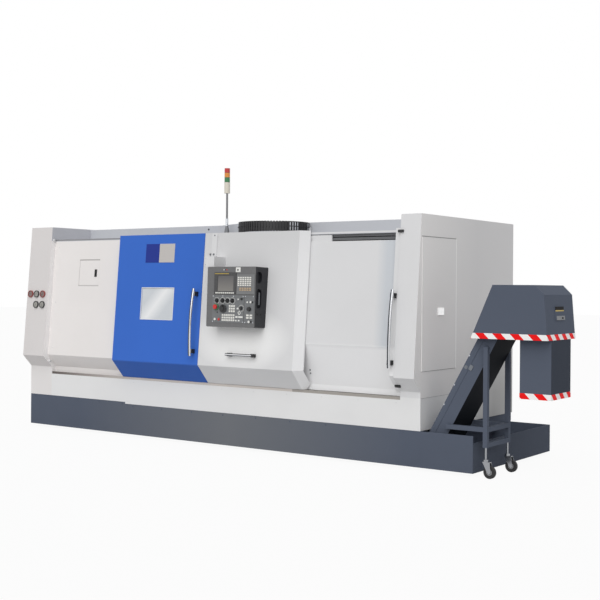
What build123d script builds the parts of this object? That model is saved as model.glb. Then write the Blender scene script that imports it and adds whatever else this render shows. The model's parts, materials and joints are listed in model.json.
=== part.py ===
from build123d import *
import math
import os

# A large slant-bed turning lathe with sliding doors and a chip conveyor, in millimetres.
# While it is drawn, X runs from the headstock end, Y from the front of the base towards the
# back, and Z up from the floor. The finished part is moved so that its origin lies on the
# floor under the middle of its footprint.

# Fits and cuts
cut_over = 20.0
running_gap = 0.05
seat_gap = 0.3

# Stand and base
pad_height = 35.0
pad_radius = 60.0
cover_back_gap = 90.0
left_cover_length = 1525.0
left_cover_top = 380.0
skirt_top = 361.0
tank_wall_top = 297.0
tank_wall = 8.0
tank_arm_depth = 540.0
tank_basin_gap = 90.0
tank_basin_length = 640.0

# Enclosure
sheet = 6.0
cabinet_top = 2310.0
left_pillar_width = 350.0
right_pillar_width = 210.0
bulge_depth = 124.0
bulge_height = 835.0
bevel_foot = 707.0
ledge_top = 628.0
ledge_depth = 110.0
end_seam = 653.0
roof_front = 46.0
roof_top = 2152.0
riser_y = 600.0
housing_top = 2305.0

# Fixed front panel beside the main door, and its hatch
recess_setback = 60.0
recess_bulge_height = 850.0
recess_foot_y = 62.0
recess_foot_height = 712.0
left_panel_lap = 70.0
hatch_inset = 425.0
hatch_width = 320.0
hatch_bottom = 1637.0
hatch_height = 299.0
hatch_gap = 0.8
hatch_pin_radius = 3.0
hatch_pin_length = 40.0
hatch_pin_inset = 40.0
latch_width = 34.0
latch_height = 82.0
latch_proud = 5.0
latch_edge = 36.0
latch_rise = 36.0

# Sliding doors
door_proud = 46.0
door_clearance = 16.0
door_top = 2185.0
door_bulge_height = 845.0
door_bottom = 656.0
door_foot_back = 40.0
door_bevel_skin = 8.0
main_door_offset = 1140.0
main_door_width = 1208.0
door_meet_gap = 4.0
panel_door_width = 1178.0
panel_side_slant = 70.0
shoe_length = 120.0
shoe_inset = 90.0
top_shoe_lift = 1.0

# Window of the main door
window_inset = 375.0
window_width = 451.0
window_bottom = 1293.0
window_height = 330.0
glass_lap = 20.0
glass_thickness = 6.0

# Door handles
handle_radius = 14.0
handle_bow = 24.0
handle_stand_off = 62.0
main_handle_edge = 58.0
main_handle_bottom = 933.0
main_handle_height = 683.0
handle_foot_width = 30.0
handle_foot_height = 44.0
handle_foot_inset = 28.0
bar_handle_inset = 393.0
bar_handle_length = 362.0
bar_handle_height = 968.0
bar_handle_radius = 13.0
bar_stand_off = 46.0
bar_foot = 34.0

# Tailstock door
tail_door_lap = 40.0
tail_door_width = 1126.0
door_end_gap = 4.0
tail_strip_width = 52.0
tail_strip_proud = 45.0
tail_strip_foot_y = 40.0
tail_strip_foot_height = 690.0
tail_strip_back = 42.0
tail_door_top = 2079.0
tail_door_depth = 36.0
tail_bend_height = 1100.0
hanger_inset = 120.0
hanger_width = 220.0
hanger_front = 50.0
hanger_thickness = 16.0
hanger_bottom = 2060.0
hanger_top = 2140.0
tail_handle_bottom = 917.0
tail_handle_height = 705.0
tail_handle_stand_off = 56.0

# Guide rails of the doors
rail_height = 25.0
front_rail_y = 8.0
front_rail_depth = 22.0
rear_rail_y = 72.0
rear_rail_depth = 20.0
top_bar_y = 48.0
top_bar_depth = 12.0
top_bar_height = 16.0
hang_rail_y = 70.0
hang_rail_pitch = 33.0

# Rubber stops
stop_radius = 12.0
stop_length = 24.0
stop_top_height = 2160.0
stop_top_y = 14.0
stop_low_height = 775.0
stop_low_y = -38.0
catch_top_height = 2166.0
catch_low_height = 752.0
catch_width = 56.0
catch_height = 24.0
catch_proud = 14.0
catch_overhang = 20.0

# Access cover on the tailstock end
end_cover_front = 12.0
end_cover_width = 648.0
end_cover_bottom = 893.0
end_cover_height = 1209.0
end_cover_thickness = 4.0
end_latch_front = 296.0
end_latch_width = 117.0
end_latch_bottom = 1394.0
end_latch_height = 66.0
end_latch_proud = 8.0

# Rear electrical cabinet
electric_inset = 1950.0
electric_gap = 90.0
electric_width = 1200.0
electric_bottom = 800.0
electric_height = 1300.0
electric_depth = 250.0
electric_lap = 12.0
electric_door_thickness = 20.0
electric_pin_radius = 6.0
electric_pin_length = 80.0
electric_pin_inset = 150.0
electric_lug = 14.0
switch_radius = 34.0
switch_base = 14.0
switch_grip_length = 56.0
switch_grip_width = 16.0
switch_grip_height = 22.0
switch_edge = 150.0
switch_height = 1500.0

# Pressure gauges on the headstock-end pillar
gauge_radius = 40.0
gauge_depth = 16.0
gauge_rim = 6.0
gauge_dish = 5.0
gauge_upper_height = 1541.0
gauge_lower_height = 1420.0
gauge_upper_x = (64.0, 164.0, 268.0)
gauge_lower_x = (166.0, 269.0)

# Operator console on the middle door
console_inset = 226.0
console_width = 604.0
console_bottom = 1246.0
console_height = 591.0
console_depth = 169.0
console_top_depth = 198.0
console_edge = 12.0
grip_length = 187.0
grip_width = 78.0
grip_depth = 26.0
grip_height_share = 0.478
grip_setback_share = 0.341
upper_grip_length = 112.0
upper_grip_width = 92.0
upper_grip_height_share = 0.826
upper_grip_setback_share = 0.322

# Bracket over the console, with the flat cable channel
bracket_inset = 18.0
bracket_width = 189.0
bracket_bottom = 1845.0
bracket_height = 100.0
bracket_thickness = 5.0
bracket_arm_inset = 160.0
bracket_arm_width = 110.0
bracket_arm_height = 103.0
bracket_arm_setback = 19.0
channel_inset = 84.0
channel_width = 65.0
channel_proud = 12.0
channel_top_gap = 6.0

# Units on the console's face, placed by shares of its width and height
unit_proud = 6.0
screen_sink = 4.0
plate_proud = 3.0
key_proud = 3.0
key_fill_share = 0.72
bezel_shares = (0.152, 0.545, 0.612, 0.905)
screen_shares = (0.224, 0.592, 0.555, 0.854)
soft_key_shares = (0.182, 0.550, 0.576, 0.581)
key_unit_shares = (0.622, 0.545, 0.985, 0.873)
letter_key_shares = (0.639, 0.677, 0.924, 0.834)
number_key_shares = (0.677, 0.599, 0.927, 0.658)
desk_shares = (0.123, 0.075, 0.776, 0.526)
side_desk_shares = (0.790, 0.070, 0.985, 0.526)
axis_key_shares = (0.469, 0.242, 0.603, 0.372)
mode_key_shares = (0.326, 0.095, 0.599, 0.220)
side_key_shares = (0.826, 0.142, 0.964, 0.223)
soft_key_count = 10
letter_key_grid = (6, 5)
number_key_grid = (5, 2)
axis_key_grid = (3, 3)
mode_key_grid = (7, 3)
side_key_grid = (2, 2)

# Controls that move on the console
knob_radius = 15.0
knob_height = 20.0
knob_skirt_radius = 21.0
knob_skirt_height = 4.0
knob_ridge_width = 7.0
knob_row_share = 0.437
knob_column_shares = (0.219, 0.339, 0.440, 0.543)
estop_shares = (0.209, 0.332)
estop_radius = 22.0
estop_height = 12.0
estop_stem_radius = 11.0
estop_stem_height = 16.0
estop_ring_radius = 34.0
estop_ring_height = 5.0
stem_depth = 12.0
handwheel_shares = (0.361, 0.306)
handwheel_radius = 38.0
handwheel_height = 20.0
handwheel_hub_radius = 20.0
handwheel_hub_height = 6.0
finger_knob_radius = 7.0
finger_knob_height = 16.0
finger_knob_place_share = 0.68
button_radius = 12.0
button_proud = 8.0
button_rim_radius = 16.0
button_rim_height = 3.0
start_button_shares = (0.189, 0.127)
hold_button_shares = (0.273, 0.127)

# Signal tower on the roof
tower_inset = 68.0
tower_y = 200.0
tower_foot_radius = 32.0
tower_foot_height = 24.0
tower_pole_radius = 11.0
tower_housing_radius = 30.0
tower_housing_bottom = 2608.0
tower_housing_top = 2721.0
tower_lens_radius = 29.0
tower_lens_height = 48.6
tower_lens_count = 3

# Cable chain on the roof, bent round in plan
chain_inset = 163.0
chain_span = 650.0
chain_start_y = 300.0
chain_end_y = 560.0
chain_front_y = 60.0
chain_lift = 36.0
chain_height = 102.0
chain_thickness = 48.0
chain_waist = 36.0
chain_link_count = 26
chain_link_share = 0.62
chain_plate_length = 430.0
chain_plate_thickness = 6.0
chain_arm_gap = 45.0
chain_arm_width = 50.0
chain_tab_length = 46.0
chain_tab_height = 70.0

# Slanted bed, drawn along the slope (s) and square to it (n) from the spindle's axis
spindle_y = 620.0
spindle_z = 1250.0
slant_angle = 45.0
bed_front = 560.0
bed_back = 1600.0
bed_shoulder = 420.0
bed_crest = 75.0
bed_wall = 70.0
bed_low_s = -340.0
bed_high_s = 400.0
bed_face_n = -500.0
way_top_n = -420.0
way_width = 100.0
way_low_s = -300.0
way_high_s = 240.0

# Headstock, spindle and chuck
headstock_inset = 70.0
headstock_length = 980.0
headstock_half = 330.0
headstock_crown_n = 300.0
headstock_shoulder_n = 150.0
headstock_crown_half = 180.0
spindle_radius = 130.0
spindle_bore = 66.0
spindle_tail = 30.0
spindle_nose = 45.0
nose_radius = 190.0
chuck_radius = 255.0
chuck_length = 145.0
chuck_bore = 70.0
chuck_rim = 14.0
jaw_count = 3
jaw_slot_width = 60.0
jaw_slot_depth = 45.0
jaw_side_gap = 0.1
jaw_inner = 92.0
jaw_outer = 236.0
jaw_step = 62.0
jaw_reach = 100.0
jaw_step_reach = 55.0
jaw_travel = 6.0

# Drive motors
spindle_motor_inset = 60.0
spindle_motor_length = 520.0
spindle_motor_high_s = 620.0
spindle_motor_low_n = -300.0
spindle_motor_high_n = 0.0
motor_corner = 60.0
feed_motor_half = 65.0
feed_motor_length = 210.0

# Carriage, cross slide and turret
carriage_gap = 500.0
carriage_length = 600.0
carriage_low_s = -330.0
carriage_high_s = 820.0
carriage_top_n = -330.0
nut_left = 200.0
nut_length = 200.0
nut_half = 50.0
nut_bottom_n = -490.0
screw_radius = 28.0
screw_s = 20.0
screw_n = -455.0
screw_start_gap = 15.0
screw_end_gap = 65.0
screw_block_length = 55.0
screw_block_half = 60.0
cross_left_inset = 40.0
cross_low_s = 300.0
cross_high_s = 870.0
cross_top_n = -240.0
turret_s = 620.0
turret_half = 190.0
turret_top_n = 180.0
turret_inset = 10.0
turret_length = 490.0
turret_corner = 70.0
disc_radius = 290.0
disc_length = 108.0
disc_gap = 2.0
disc_sides = 12
disc_hub_radius = 110.0
disc_hub_length = 26.0
turret_shaft_radius = 90.0
turret_shaft_length = 200.0
tool_count = 6
tool_width = 52.0
tool_length = 90.0
tool_reach = 62.0
shank_width = 25.0
shank_reach = 10.0

# Tailstock
tailstock_end_gap = 370.0
tailstock_length = 600.0
tailstock_low_s = -330.0
tailstock_high_s = 360.0
tailstock_base_n = -320.0
tailstock_neck_n = -250.0
tailstock_half = 190.0
tailstock_shoulder_n = 60.0
tailstock_crown_n = 185.0
tailstock_crown_half = 110.0
quill_radius = 95.0
quill_stick_out = 120.0
quill_length = 600.0
centre_shank_radius = 40.0
centre_shank_length = 160.0
centre_body_radius = 70.0
centre_body_length = 100.0
centre_cone_radius = 55.0
centre_half_angle = 30.0

# Chip conveyor
conveyor_front = 70.0
conveyor_width = 400.0
conveyor_wall = 4.0
trough_end_gap = 175.0
trough_floor = 60.0
trough_thickness = 163.0
incline_foot_inset = 441.0
incline_angle = 61.0
incline_length = 1406.0
lid_depth = 52.0
lid_thickness = 4.0
lid_start = 240.0
chip_mouth_inset = 80.0
chip_mouth_gap = 30.0
trough_foot_length = 60.0
trough_foot_count = 3
belt_gap = 25.0
belt_thickness = 12.0
belt_side_gap = 12.0
belt_head = 110.0
cleat_pitch = 420.0
cleat_thickness = 10.0
hood_front = -20.0
hood_depth = 618.0
hood_bottom = 1209.0
hood_top = 1673.0
hood_lap = 20.0
hood_back_slant = 203.0
hood_top_length = 385.0
hood_shoulder_length = 82.0
hood_shoulder = 1592.0
hood_end_slant = 32.0
chute_end_gap = 2.0
chute_length = 283.0
chute_front = 75.0
chute_depth = 424.0
chute_bottom = 705.0
control_front = 178.0
control_width = 202.0
control_bottom = 1375.0
control_height = 119.0
control_proud = 6.0

# Legs and casters of the conveyor
leg_reach = 98.0
leg_size = 40.0
leg_bottom = 265.0
leg_top = 1136.0
leg_brace_bottom = 400.0
leg_cross_bottom = 267.0
wheel_radius = 56.0
wheel_width = 30.0
wheel_tread_edge = 5.0
caster_trail = 40.0
axle_radius = 8.0
caster_stem_radius = 9.0
fork_plate_height = 138.0
fork_plate_thickness = 6.0
fork_plate_length = 66.0
fork_cheek = 4.0
fork_side_gap = 3.0
fork_foot_radius = 18.0
fork_hub_radius = 22.0
fork_hub_height = 20.0

# Levelling pads: rows under the bed and under the tank
bed_pad_inset = 150.0
bed_pad_count = 6
bed_pad_setback = 90.0
tank_pad_inset = 200.0
tank_pad_count = 6

# Sizes worked out from the ones above
main_door_left = left_pillar_width + main_door_offset
main_door_right = main_door_left + main_door_width
panel_door_left = main_door_right + door_meet_gap
panel_front_right = panel_door_left + panel_door_width
panel_back_right = panel_front_right + panel_side_slant
tail_door_left = panel_front_right - tail_door_lap
tail_door_right = tail_door_left + tail_door_width
right_pillar_left = tail_door_right + door_end_gap
cabinet_length = right_pillar_left + right_pillar_width
cabinet_depth = bed_back + electric_gap + electric_depth
bed_left = left_pillar_width
bed_right = right_pillar_left
base_length = bed_right + tank_basin_gap + tank_basin_length
base_depth = bed_back + cover_back_gap
left_panel_right = main_door_left + left_panel_lap
hatch_left = left_pillar_width + hatch_inset
window_left = main_door_left + window_inset
main_handle_x = main_door_right - main_handle_edge
bar_handle_left = panel_door_left + bar_handle_inset
hanger_left = tail_door_left + hanger_inset
electric_left = left_pillar_width + electric_inset
console_left = panel_door_left + console_inset
tower_x = panel_door_left + tower_inset
chain_start_x = panel_door_left + chain_inset
chain_end_x = chain_start_x + chain_span
headstock_left = bed_left + headstock_inset
headstock_right = headstock_left + headstock_length
spindle_motor_left = headstock_left + spindle_motor_inset
carriage_left = headstock_right + carriage_gap
screw_left = headstock_right + screw_start_gap
screw_right = bed_right - screw_end_gap - feed_motor_length
tailstock_left = bed_right - tailstock_end_gap - tailstock_length
trough_left = left_cover_length + trough_end_gap
incline_foot_x = base_length - incline_foot_inset
chip_mouth_left = trough_left + chip_mouth_inset
chip_mouth_right = right_pillar_left - chip_mouth_gap
hood_left = base_length - hood_lap
hood_top_left = hood_left + hood_back_slant
hood_top_right = hood_top_left + hood_top_length
hood_shoulder_x = hood_top_right + hood_shoulder_length
hood_right = hood_shoulder_x + hood_end_slant
chute_right = hood_right - chute_end_gap
chute_left = chute_right - chute_length
leg_x = base_length + leg_reach
lean = math.atan2(bulge_depth, cabinet_top - bulge_height)
recess_top = roof_top - sheet
rail_top = ledge_top + rail_height
door_depth = recess_setback + door_proud - door_clearance
conveyor_back = conveyor_front + conveyor_width
slope_cos = math.cos(math.radians(slant_angle))
slope_sin = math.sin(math.radians(slant_angle))
incline_cos = math.cos(math.radians(incline_angle))
incline_sin = math.sin(math.radians(incline_angle))
nose_face = headstock_right + spindle_nose
chuck_face = nose_face + chuck_length
disc_right = carriage_left + turret_inset - disc_gap
disc_left = disc_right - disc_length
quill_left = tailstock_left - quill_stick_out


def block(x0, x1, y0, y1, z0, z1):
    """A square-edged block between two corners."""
    centre = Pos((x0 + x1) / 2, (y0 + y1) / 2, (z0 + z1) / 2)
    return centre * Box(x1 - x0, y1 - y0, z1 - z0)


def prism_x(profile, x0, x1):
    """A side profile of (y, z) points, drawn out along X."""
    outline = Polyline(*[(x0, y, z) for y, z in profile], close=True)
    return extrude(make_face(outline), amount=x1 - x0, dir=(1, 0, 0))


def prism_y(profile, y0, y1):
    """A front profile of (x, z) points, drawn out along Y."""
    outline = Polyline(*[(x, y0, z) for x, z in profile], close=True)
    return extrude(make_face(outline), amount=y1 - y0, dir=(0, 1, 0))


def rod(start, direction, radius, length):
    """A round bar from a point along a direction."""
    ends = (Align.CENTER, Align.CENTER, Align.MIN)
    return Plane(origin=start, z_dir=direction) * Cylinder(radius, length, align=ends)


def rod_x(x0, x1, y, z, radius):
    """A round bar along X."""
    return rod((x0, y, z), (1, 0, 0), radius, x1 - x0)


def rod_z(x, y, z0, z1, radius):
    """A round bar along Z."""
    return rod((x, y, z0), (0, 0, 1), radius, z1 - z0)


def slope(s, n):
    """The (y, z) place at s up the slant and n square to it, from the spindle's axis."""
    return (
        spindle_y + s * slope_cos - n * slope_sin,
        spindle_z + s * slope_sin + n * slope_cos,
    )


def slope_bar(s0, s1, n0, n1, x0, x1):
    """A square bar along X that lies on the slant."""
    return prism_x([slope(s0, n0), slope(s1, n0), slope(s1, n1), slope(s0, n1)], x0, x1)


def lean_y(height):
    """The pillars' front at a height: every front face leans back with it."""
    return -bulge_depth * (cabinet_top - height) / (cabinet_top - bulge_height)


def front_plane(x, height, setback):
    """A leaning work plane: its X runs along the machine, its Y up the face, its Z outwards."""
    origin = (x, lean_y(height) + setback, height)
    return Plane(origin=origin, x_dir=(1, 0, 0), z_dir=(0, -math.cos(lean), math.sin(lean)))


def bevel_plane(x, height):
    """A work plane on the pillars' bevel: its Y runs up the bevel, its Z outwards."""
    rise = bulge_height - bevel_foot
    origin = (x, -bulge_depth * (height - bevel_foot) / rise, height)
    return Plane(origin=origin, x_dir=(1, 0, 0), z_dir=(0, -rise, -bulge_depth))


def on_plane(plane, x0, x1, y0, y1, z0, z1):
    """A block between two corners in a work plane's own axes."""
    return plane * block(x0, x1, y0, y1, z0, z1)


def levelling_pads():
    """Round steel pads that carry the bed and the coolant tank."""
    pads = []
    bed_step = (bed_right - bed_left - 2 * bed_pad_inset) / (bed_pad_count - 1)
    for row in (bed_front + bed_pad_setback, bed_back - bed_pad_setback):
        for i in range(bed_pad_count):
            x = bed_left + bed_pad_inset + i * bed_step
            pads.append(rod_z(x, row, 0, pad_height, pad_radius))
    tank_span = base_length - left_cover_length - 2 * tank_pad_inset
    for i in range(tank_pad_count):
        x = left_cover_length + tank_pad_inset + i * tank_span / (tank_pad_count - 1)
        pads.append(rod_z(x, tank_arm_depth / 2, 0, pad_height, pad_radius))
    far_x, far_y = base_length - tank_pad_inset, base_depth - tank_pad_inset
    pads.append(rod_z(far_x, far_y, 0, pad_height, pad_radius))
    return pads


def coolant_tank():
    """An open tray: an arm along the front of the bed and a basin at the conveyor end."""
    basin_left = base_length - tank_basin_length

    def tray(inset, z0, z1):
        arm = block(
            left_cover_length + inset, base_length - inset,
            inset, tank_arm_depth - inset, z0, z1,
        )
        basin = block(
            basin_left + inset, base_length - inset, inset, base_depth - inset, z0, z1,
        )
        return arm + basin

    shell = tray(0, pad_height, tank_wall_top)
    shell -= tray(tank_wall, pad_height + tank_wall, tank_wall_top + cut_over)
    fascia = block(left_cover_length, base_length, 0, tank_wall, tank_wall_top, skirt_top)
    upstand = block(
        basin_left, basin_left + tank_wall, tank_arm_depth - tank_wall, base_depth, tank_wall_top, skirt_top,
    )
    return [shell + fascia + upstand]


def left_base_cover():
    """A folded skirt round the headstock end of the bed."""
    front = block(0, left_cover_length, 0, sheet, pad_height, left_cover_top)
    side = block(0, sheet, 0, base_depth, pad_height, left_cover_top)
    back = block(0, left_cover_length, base_depth - sheet, base_depth, pad_height, left_cover_top)
    return [front + side + back]


def pillar_profile(bottom, inset):
    """Side profile of an end cabinet, with its leaning front, bulge and bevel."""
    low = bottom - (cut_over if inset else 0)
    return [
        (lean_y(cabinet_top) + inset, cabinet_top - inset),
        (-bulge_depth + inset, bulge_height),
        (inset, bevel_foot),
        (inset, low),
        (cabinet_depth - inset, low),
        (cabinet_depth - inset, cabinet_top - inset),
    ]


def end_cabinet(x0, x1, bottom):
    """A sheet-metal end cabinet, open underneath."""
    outer = prism_x(pillar_profile(bottom, 0), x0, x1)
    return outer - prism_x(pillar_profile(bottom, sheet), x0 + sheet, x1 - sheet)


def lower_front_panel():
    """The white band under the doors: front wall, door ledge and the return at the far end."""
    x0, x1 = left_pillar_width, cabinet_length
    wall = block(x0, x1, 0, sheet, left_cover_top, ledge_top)
    wall += block(left_cover_length, x1, 0, sheet, skirt_top, left_cover_top)
    wall += block(x0, right_pillar_left, 0, ledge_depth, ledge_top - sheet, ledge_top)
    wall += block(right_pillar_left, x1, 0, sheet, ledge_top, end_seam)
    wall += block(x1 - sheet, x1, 0, cabinet_depth, skirt_top, end_seam)
    return [wall]


def door_guide_rails():
    """Bottom rails on the ledge, the top guide bar and the pair of hanger rails."""
    x0, x1 = left_pillar_width, right_pillar_left
    hang_y = hang_rail_y
    hang_top = roof_top - sheet
    rails = [
        block(x0, x1, front_rail_y, front_rail_y + front_rail_depth, ledge_top, rail_top),
        block(left_panel_right, x1, rear_rail_y, rear_rail_y + rear_rail_depth, ledge_top, rail_top),
        block(x0, x1, top_bar_y, top_bar_y + top_bar_depth, roof_top, roof_top + top_bar_height),
    ]
    for drop in (0, hang_rail_pitch):
        top = hang_top - drop
        rails.append(block(x0, x1, hang_y, hang_y + rear_rail_depth, top - rail_height, top))
    return rails


def recess_profile(top, front, back):
    """Side profile of a leaning recessed sheet between two setbacks from the pillars' front."""
    foot_shift = back - front
    return [
        (lean_y(top) + front, top),
        (lean_y(recess_bulge_height) + front, recess_bulge_height),
        (recess_foot_y, recess_foot_height),
        (recess_foot_y, ledge_top),
        (recess_foot_y + foot_shift, ledge_top),
        (recess_foot_y + foot_shift, recess_foot_height),
        (lean_y(recess_bulge_height) + back, recess_bulge_height),
        (lean_y(top) + back, top),
    ]


def hatch_pins(radius):
    """The two hinge pins along the hatch's left edge, in the panel's face."""
    plane = front_plane(hatch_left, hatch_bottom, recess_setback)
    length = hatch_height / math.cos(lean)
    starts = (hatch_pin_inset, length - hatch_pin_inset - hatch_pin_length)
    up = (0, math.sin(lean), math.cos(lean))
    return [
        rod(tuple((plane * Pos(0, start, 0)).position), up, radius, hatch_pin_length)
        for start in starts
    ]


def fixed_sheet():
    """The recessed sheet beside the main door, before the hatch is cut out of it."""
    profile = recess_profile(recess_top, recess_setback, recess_setback + sheet)
    return prism_x(profile, left_pillar_width, left_panel_right)


def hatch_window(gap):
    """The space of the hatch in the recessed sheet, less a gap all round."""
    return block(
        hatch_left + gap, hatch_left + hatch_width - gap,
        -bulge_depth, ledge_depth,
        hatch_bottom + gap, hatch_bottom + hatch_height - gap,
    )


def left_front_panel():
    """The fixed recessed panel with the hatch's opening and hinge pins."""
    panel = fixed_sheet() - hatch_window(0)
    for pin in hatch_pins(hatch_pin_radius):
        panel += pin
    return [panel]


def access_hatch():
    """A flush hatch on two pins, with a latch near its free edge."""
    hatch = fixed_sheet() & hatch_window(hatch_gap)
    for pin in hatch_pins(hatch_pin_radius + running_gap):
        hatch -= pin
    plane = front_plane(hatch_left + hatch_width, hatch_bottom + hatch_height / 2, recess_setback)
    right = -latch_edge
    low = latch_rise - latch_height
    latch = on_plane(plane, right - latch_width, right, low, latch_rise, 0, latch_proud)
    return [hatch, latch]


def upper_housing():
    """Roof, riser, top and back of the enclosure as one folded sheet, with the cable cabinet."""
    x0, x1 = left_pillar_width, right_pillar_left
    back = cabinet_depth
    shell = block(x0, x1, roof_front, riser_y, roof_top - sheet, roof_top)
    shell += block(x0, x1, riser_y - sheet, riser_y, roof_top - sheet, housing_top)
    shell += block(x0, x1, riser_y - sheet, back, housing_top - sheet, housing_top)
    shell += block(x0, x1, back - sheet, back, left_cover_top, housing_top)
    right = electric_left + electric_width
    top = electric_bottom + electric_height
    shell += block(
        electric_left - sheet, right + sheet, back - electric_depth, back,
        electric_bottom - sheet, top + sheet,
    )
    shell -= block(
        electric_left, right, back - electric_depth + sheet, back + cut_over, electric_bottom, top,
    )
    for pin in electric_pins(electric_pin_radius):
        shell += pin
    for start in electric_pin_starts():
        shell += block(
            electric_hinge_x() - electric_lug, electric_hinge_x() - seat_gap,
            back, electric_hinge_y(), start, start + electric_pin_length,
        )
    return [shell]


def electric_hinge_x():
    """The electrical door's hinge line, at its left edge."""
    return electric_left - electric_lap


def electric_hinge_y():
    """The electrical door's hinge line, in its outer face."""
    return cabinet_depth + electric_door_thickness


def electric_pin_starts():
    """Heights at which the electrical door's hinge pins start."""
    top = electric_bottom + electric_height
    return (electric_bottom + electric_pin_inset, top - electric_pin_inset - electric_pin_length)


def electric_pins(radius):
    """The electrical door's two hinge pins."""
    return [
        rod_z(electric_hinge_x(), electric_hinge_y(), start, start + electric_pin_length, radius)
        for start in electric_pin_starts()
    ]


def electrical_door():
    """A folded door over the electrical cabinet, open towards the cabinet."""
    right = electric_left + electric_width + electric_lap
    bottom = electric_bottom - electric_lap
    top = electric_bottom + electric_height + electric_lap
    y0 = cabinet_depth
    y1 = electric_hinge_y()
    door = block(electric_hinge_x(), right, y0, y1, bottom, top)
    door -= block(
        electric_left + sheet, electric_left + electric_width - sheet,
        y0 - cut_over, y1 - sheet, electric_bottom + sheet, top - electric_lap - sheet,
    )
    for pin in electric_pins(electric_pin_radius + running_gap):
        door -= pin
    return [door]


def main_switch():
    """The rotary main switch on the electrical door."""
    x = electric_left + electric_width - switch_edge
    y = electric_hinge_y()
    dial = rod((x, y, switch_height), (0, 1, 0), switch_radius, switch_base)
    half = switch_grip_width / 2
    reach = switch_grip_length / 2
    y1 = y + switch_base
    grip = block(x - half, x + half, y1, y1 + switch_grip_height, switch_height - reach, switch_height + reach)
    return [dial + grip]


def door_profile():
    """Side profile of the two front doors: a leaning face, a bulge and a bevel, as a pan."""
    front = -door_proud
    back = front + door_depth
    return [
        (lean_y(door_top) + front, door_top),
        (lean_y(door_bulge_height) + front, door_bulge_height),
        (0, door_bottom),
        (door_foot_back, door_bottom),
        (door_foot_back, recess_foot_height),
        (lean_y(door_bulge_height) + back, door_bulge_height),
        (lean_y(door_top) + back, door_top),
    ]


def door_hollow():
    """Side profile of the hollow behind the skin of the two front doors."""
    front = -door_proud + sheet
    open_back = door_foot_back + cut_over
    return [
        (lean_y(door_top - sheet) + front, door_top - sheet),
        (lean_y(door_bulge_height) + front, door_bulge_height),
        (door_bevel_skin - sheet, door_bottom + sheet),
        (open_back, door_bottom + sheet),
        (open_back, door_top - sheet),
    ]


def door_shoes(x0, x1):
    """Sliding shoes of a front door: two on the bottom rail and two at the top guide bar."""
    y0 = front_rail_y + running_gap
    y1 = front_rail_y + front_rail_depth - running_gap
    shoes = []
    for start in (x0 + shoe_inset, x1 - shoe_inset - shoe_length):
        end = start + shoe_length
        shoes.append(block(start, end, y0, y1, rail_top + seat_gap, door_bottom + sheet))
        shoes.append(block(
            start, end, front_rail_y, top_bar_y - seat_gap,
            roof_top + top_shoe_lift, door_top,
        ))
    return shoes


def main_door():
    """The blue main door: a folded pan with a window opening."""
    x0, x1 = main_door_left, main_door_right
    door = prism_x(door_profile(), x0, x1)
    door -= prism_x(door_hollow(), x0 + sheet, x1 - sheet)
    door -= block(
        window_left, window_left + window_width, -bulge_depth - door_depth, 0,
        window_bottom, window_bottom + window_height,
    )
    for shoe in door_shoes(x0, x1):
        door += shoe
    return [door]


def main_door_glass():
    """The window pane, held against the back of the door's skin."""
    front = -door_proud + sheet
    z0 = window_bottom - glass_lap
    z1 = window_bottom + window_height + glass_lap
    profile = [
        (lean_y(z0) + front, z0),
        (lean_y(z1) + front, z1),
        (lean_y(z1) + front + glass_thickness, z1),
        (lean_y(z0) + front + glass_thickness, z0),
    ]
    return [prism_x(profile, window_left - glass_lap, window_left + window_width + glass_lap)]


def bow_handle(x, bottom, height, setback, stand_off):
    """A slightly bowed upright bar on two feet, in front of a leaning face."""
    plane = front_plane(x, bottom, setback)
    low = plane * Pos(0, 0, stand_off)
    middle = plane * Pos(0, height / 2, stand_off + handle_bow)
    high = plane * Pos(0, height, stand_off)
    path = ThreePointArc(low.position, middle.position, high.position)
    section = Plane(origin=path @ 0, z_dir=path % 0) * Circle(handle_radius)
    bar = sweep(section, path=path)
    pieces = [bar]
    half = handle_foot_width / 2
    for start in (handle_foot_inset, height - handle_foot_inset - handle_foot_height):
        top = stand_off + handle_bow / 2
        foot = on_plane(plane, -half, half, start, start + handle_foot_height, 0, top)
        pieces.append(foot - bar)
    return pieces


def main_door_handle():
    """The main door's upright handle."""
    return bow_handle(
        main_handle_x, main_handle_bottom, main_handle_height, -door_proud, handle_stand_off,
    )


def panel_wedge():
    """What the slanted far side takes off the middle door: upper face and bevel alike."""
    front = lean_y(door_bulge_height) - door_proud
    back = front + door_depth
    x0, x1 = panel_front_right, panel_back_right
    outline = Polyline(
        (x0, front, door_bulge_height), (x1, back, door_bulge_height),
        (x1 + cut_over, back, door_bulge_height),
        (x1 + cut_over, front - cut_over, door_bulge_height),
        (x0, front - cut_over, door_bulge_height),
        close=True,
    )
    face = make_face(outline)
    rise = (door_top - door_bulge_height + cut_over) / math.cos(lean)
    upper = extrude(face, amount=rise, dir=(0, math.sin(lean), math.cos(lean)))
    drop = (0, -front, door_bottom - door_bulge_height)
    fall = math.hypot(front, door_bulge_height - door_bottom) + cut_over
    lower = extrude(face, amount=fall, dir=drop)
    return upper + lower


def panel_door():
    """The middle door that carries the console, with the arm that pulls the cable chain."""
    x0, x1 = panel_door_left, panel_back_right
    door = prism_x(door_profile(), x0, x1)
    door -= prism_x(door_hollow(), x0 + sheet, panel_front_right - sheet)
    door -= panel_wedge()
    for shoe in door_shoes(x0, panel_front_right):
        door += shoe
    arm_left = chain_end_x + chain_arm_gap
    arm_right = arm_left + chain_arm_width
    arm_end = chain_end_y + chain_thickness / 2
    arm = block(arm_left, arm_right, lean_y(door_top), arm_end, door_top - sheet, door_top)
    arm += block(
        arm_left, arm_left + sheet, arm_end - chain_tab_length, arm_end,
        door_top, door_top + chain_tab_height,
    )
    return [door + arm]


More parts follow.
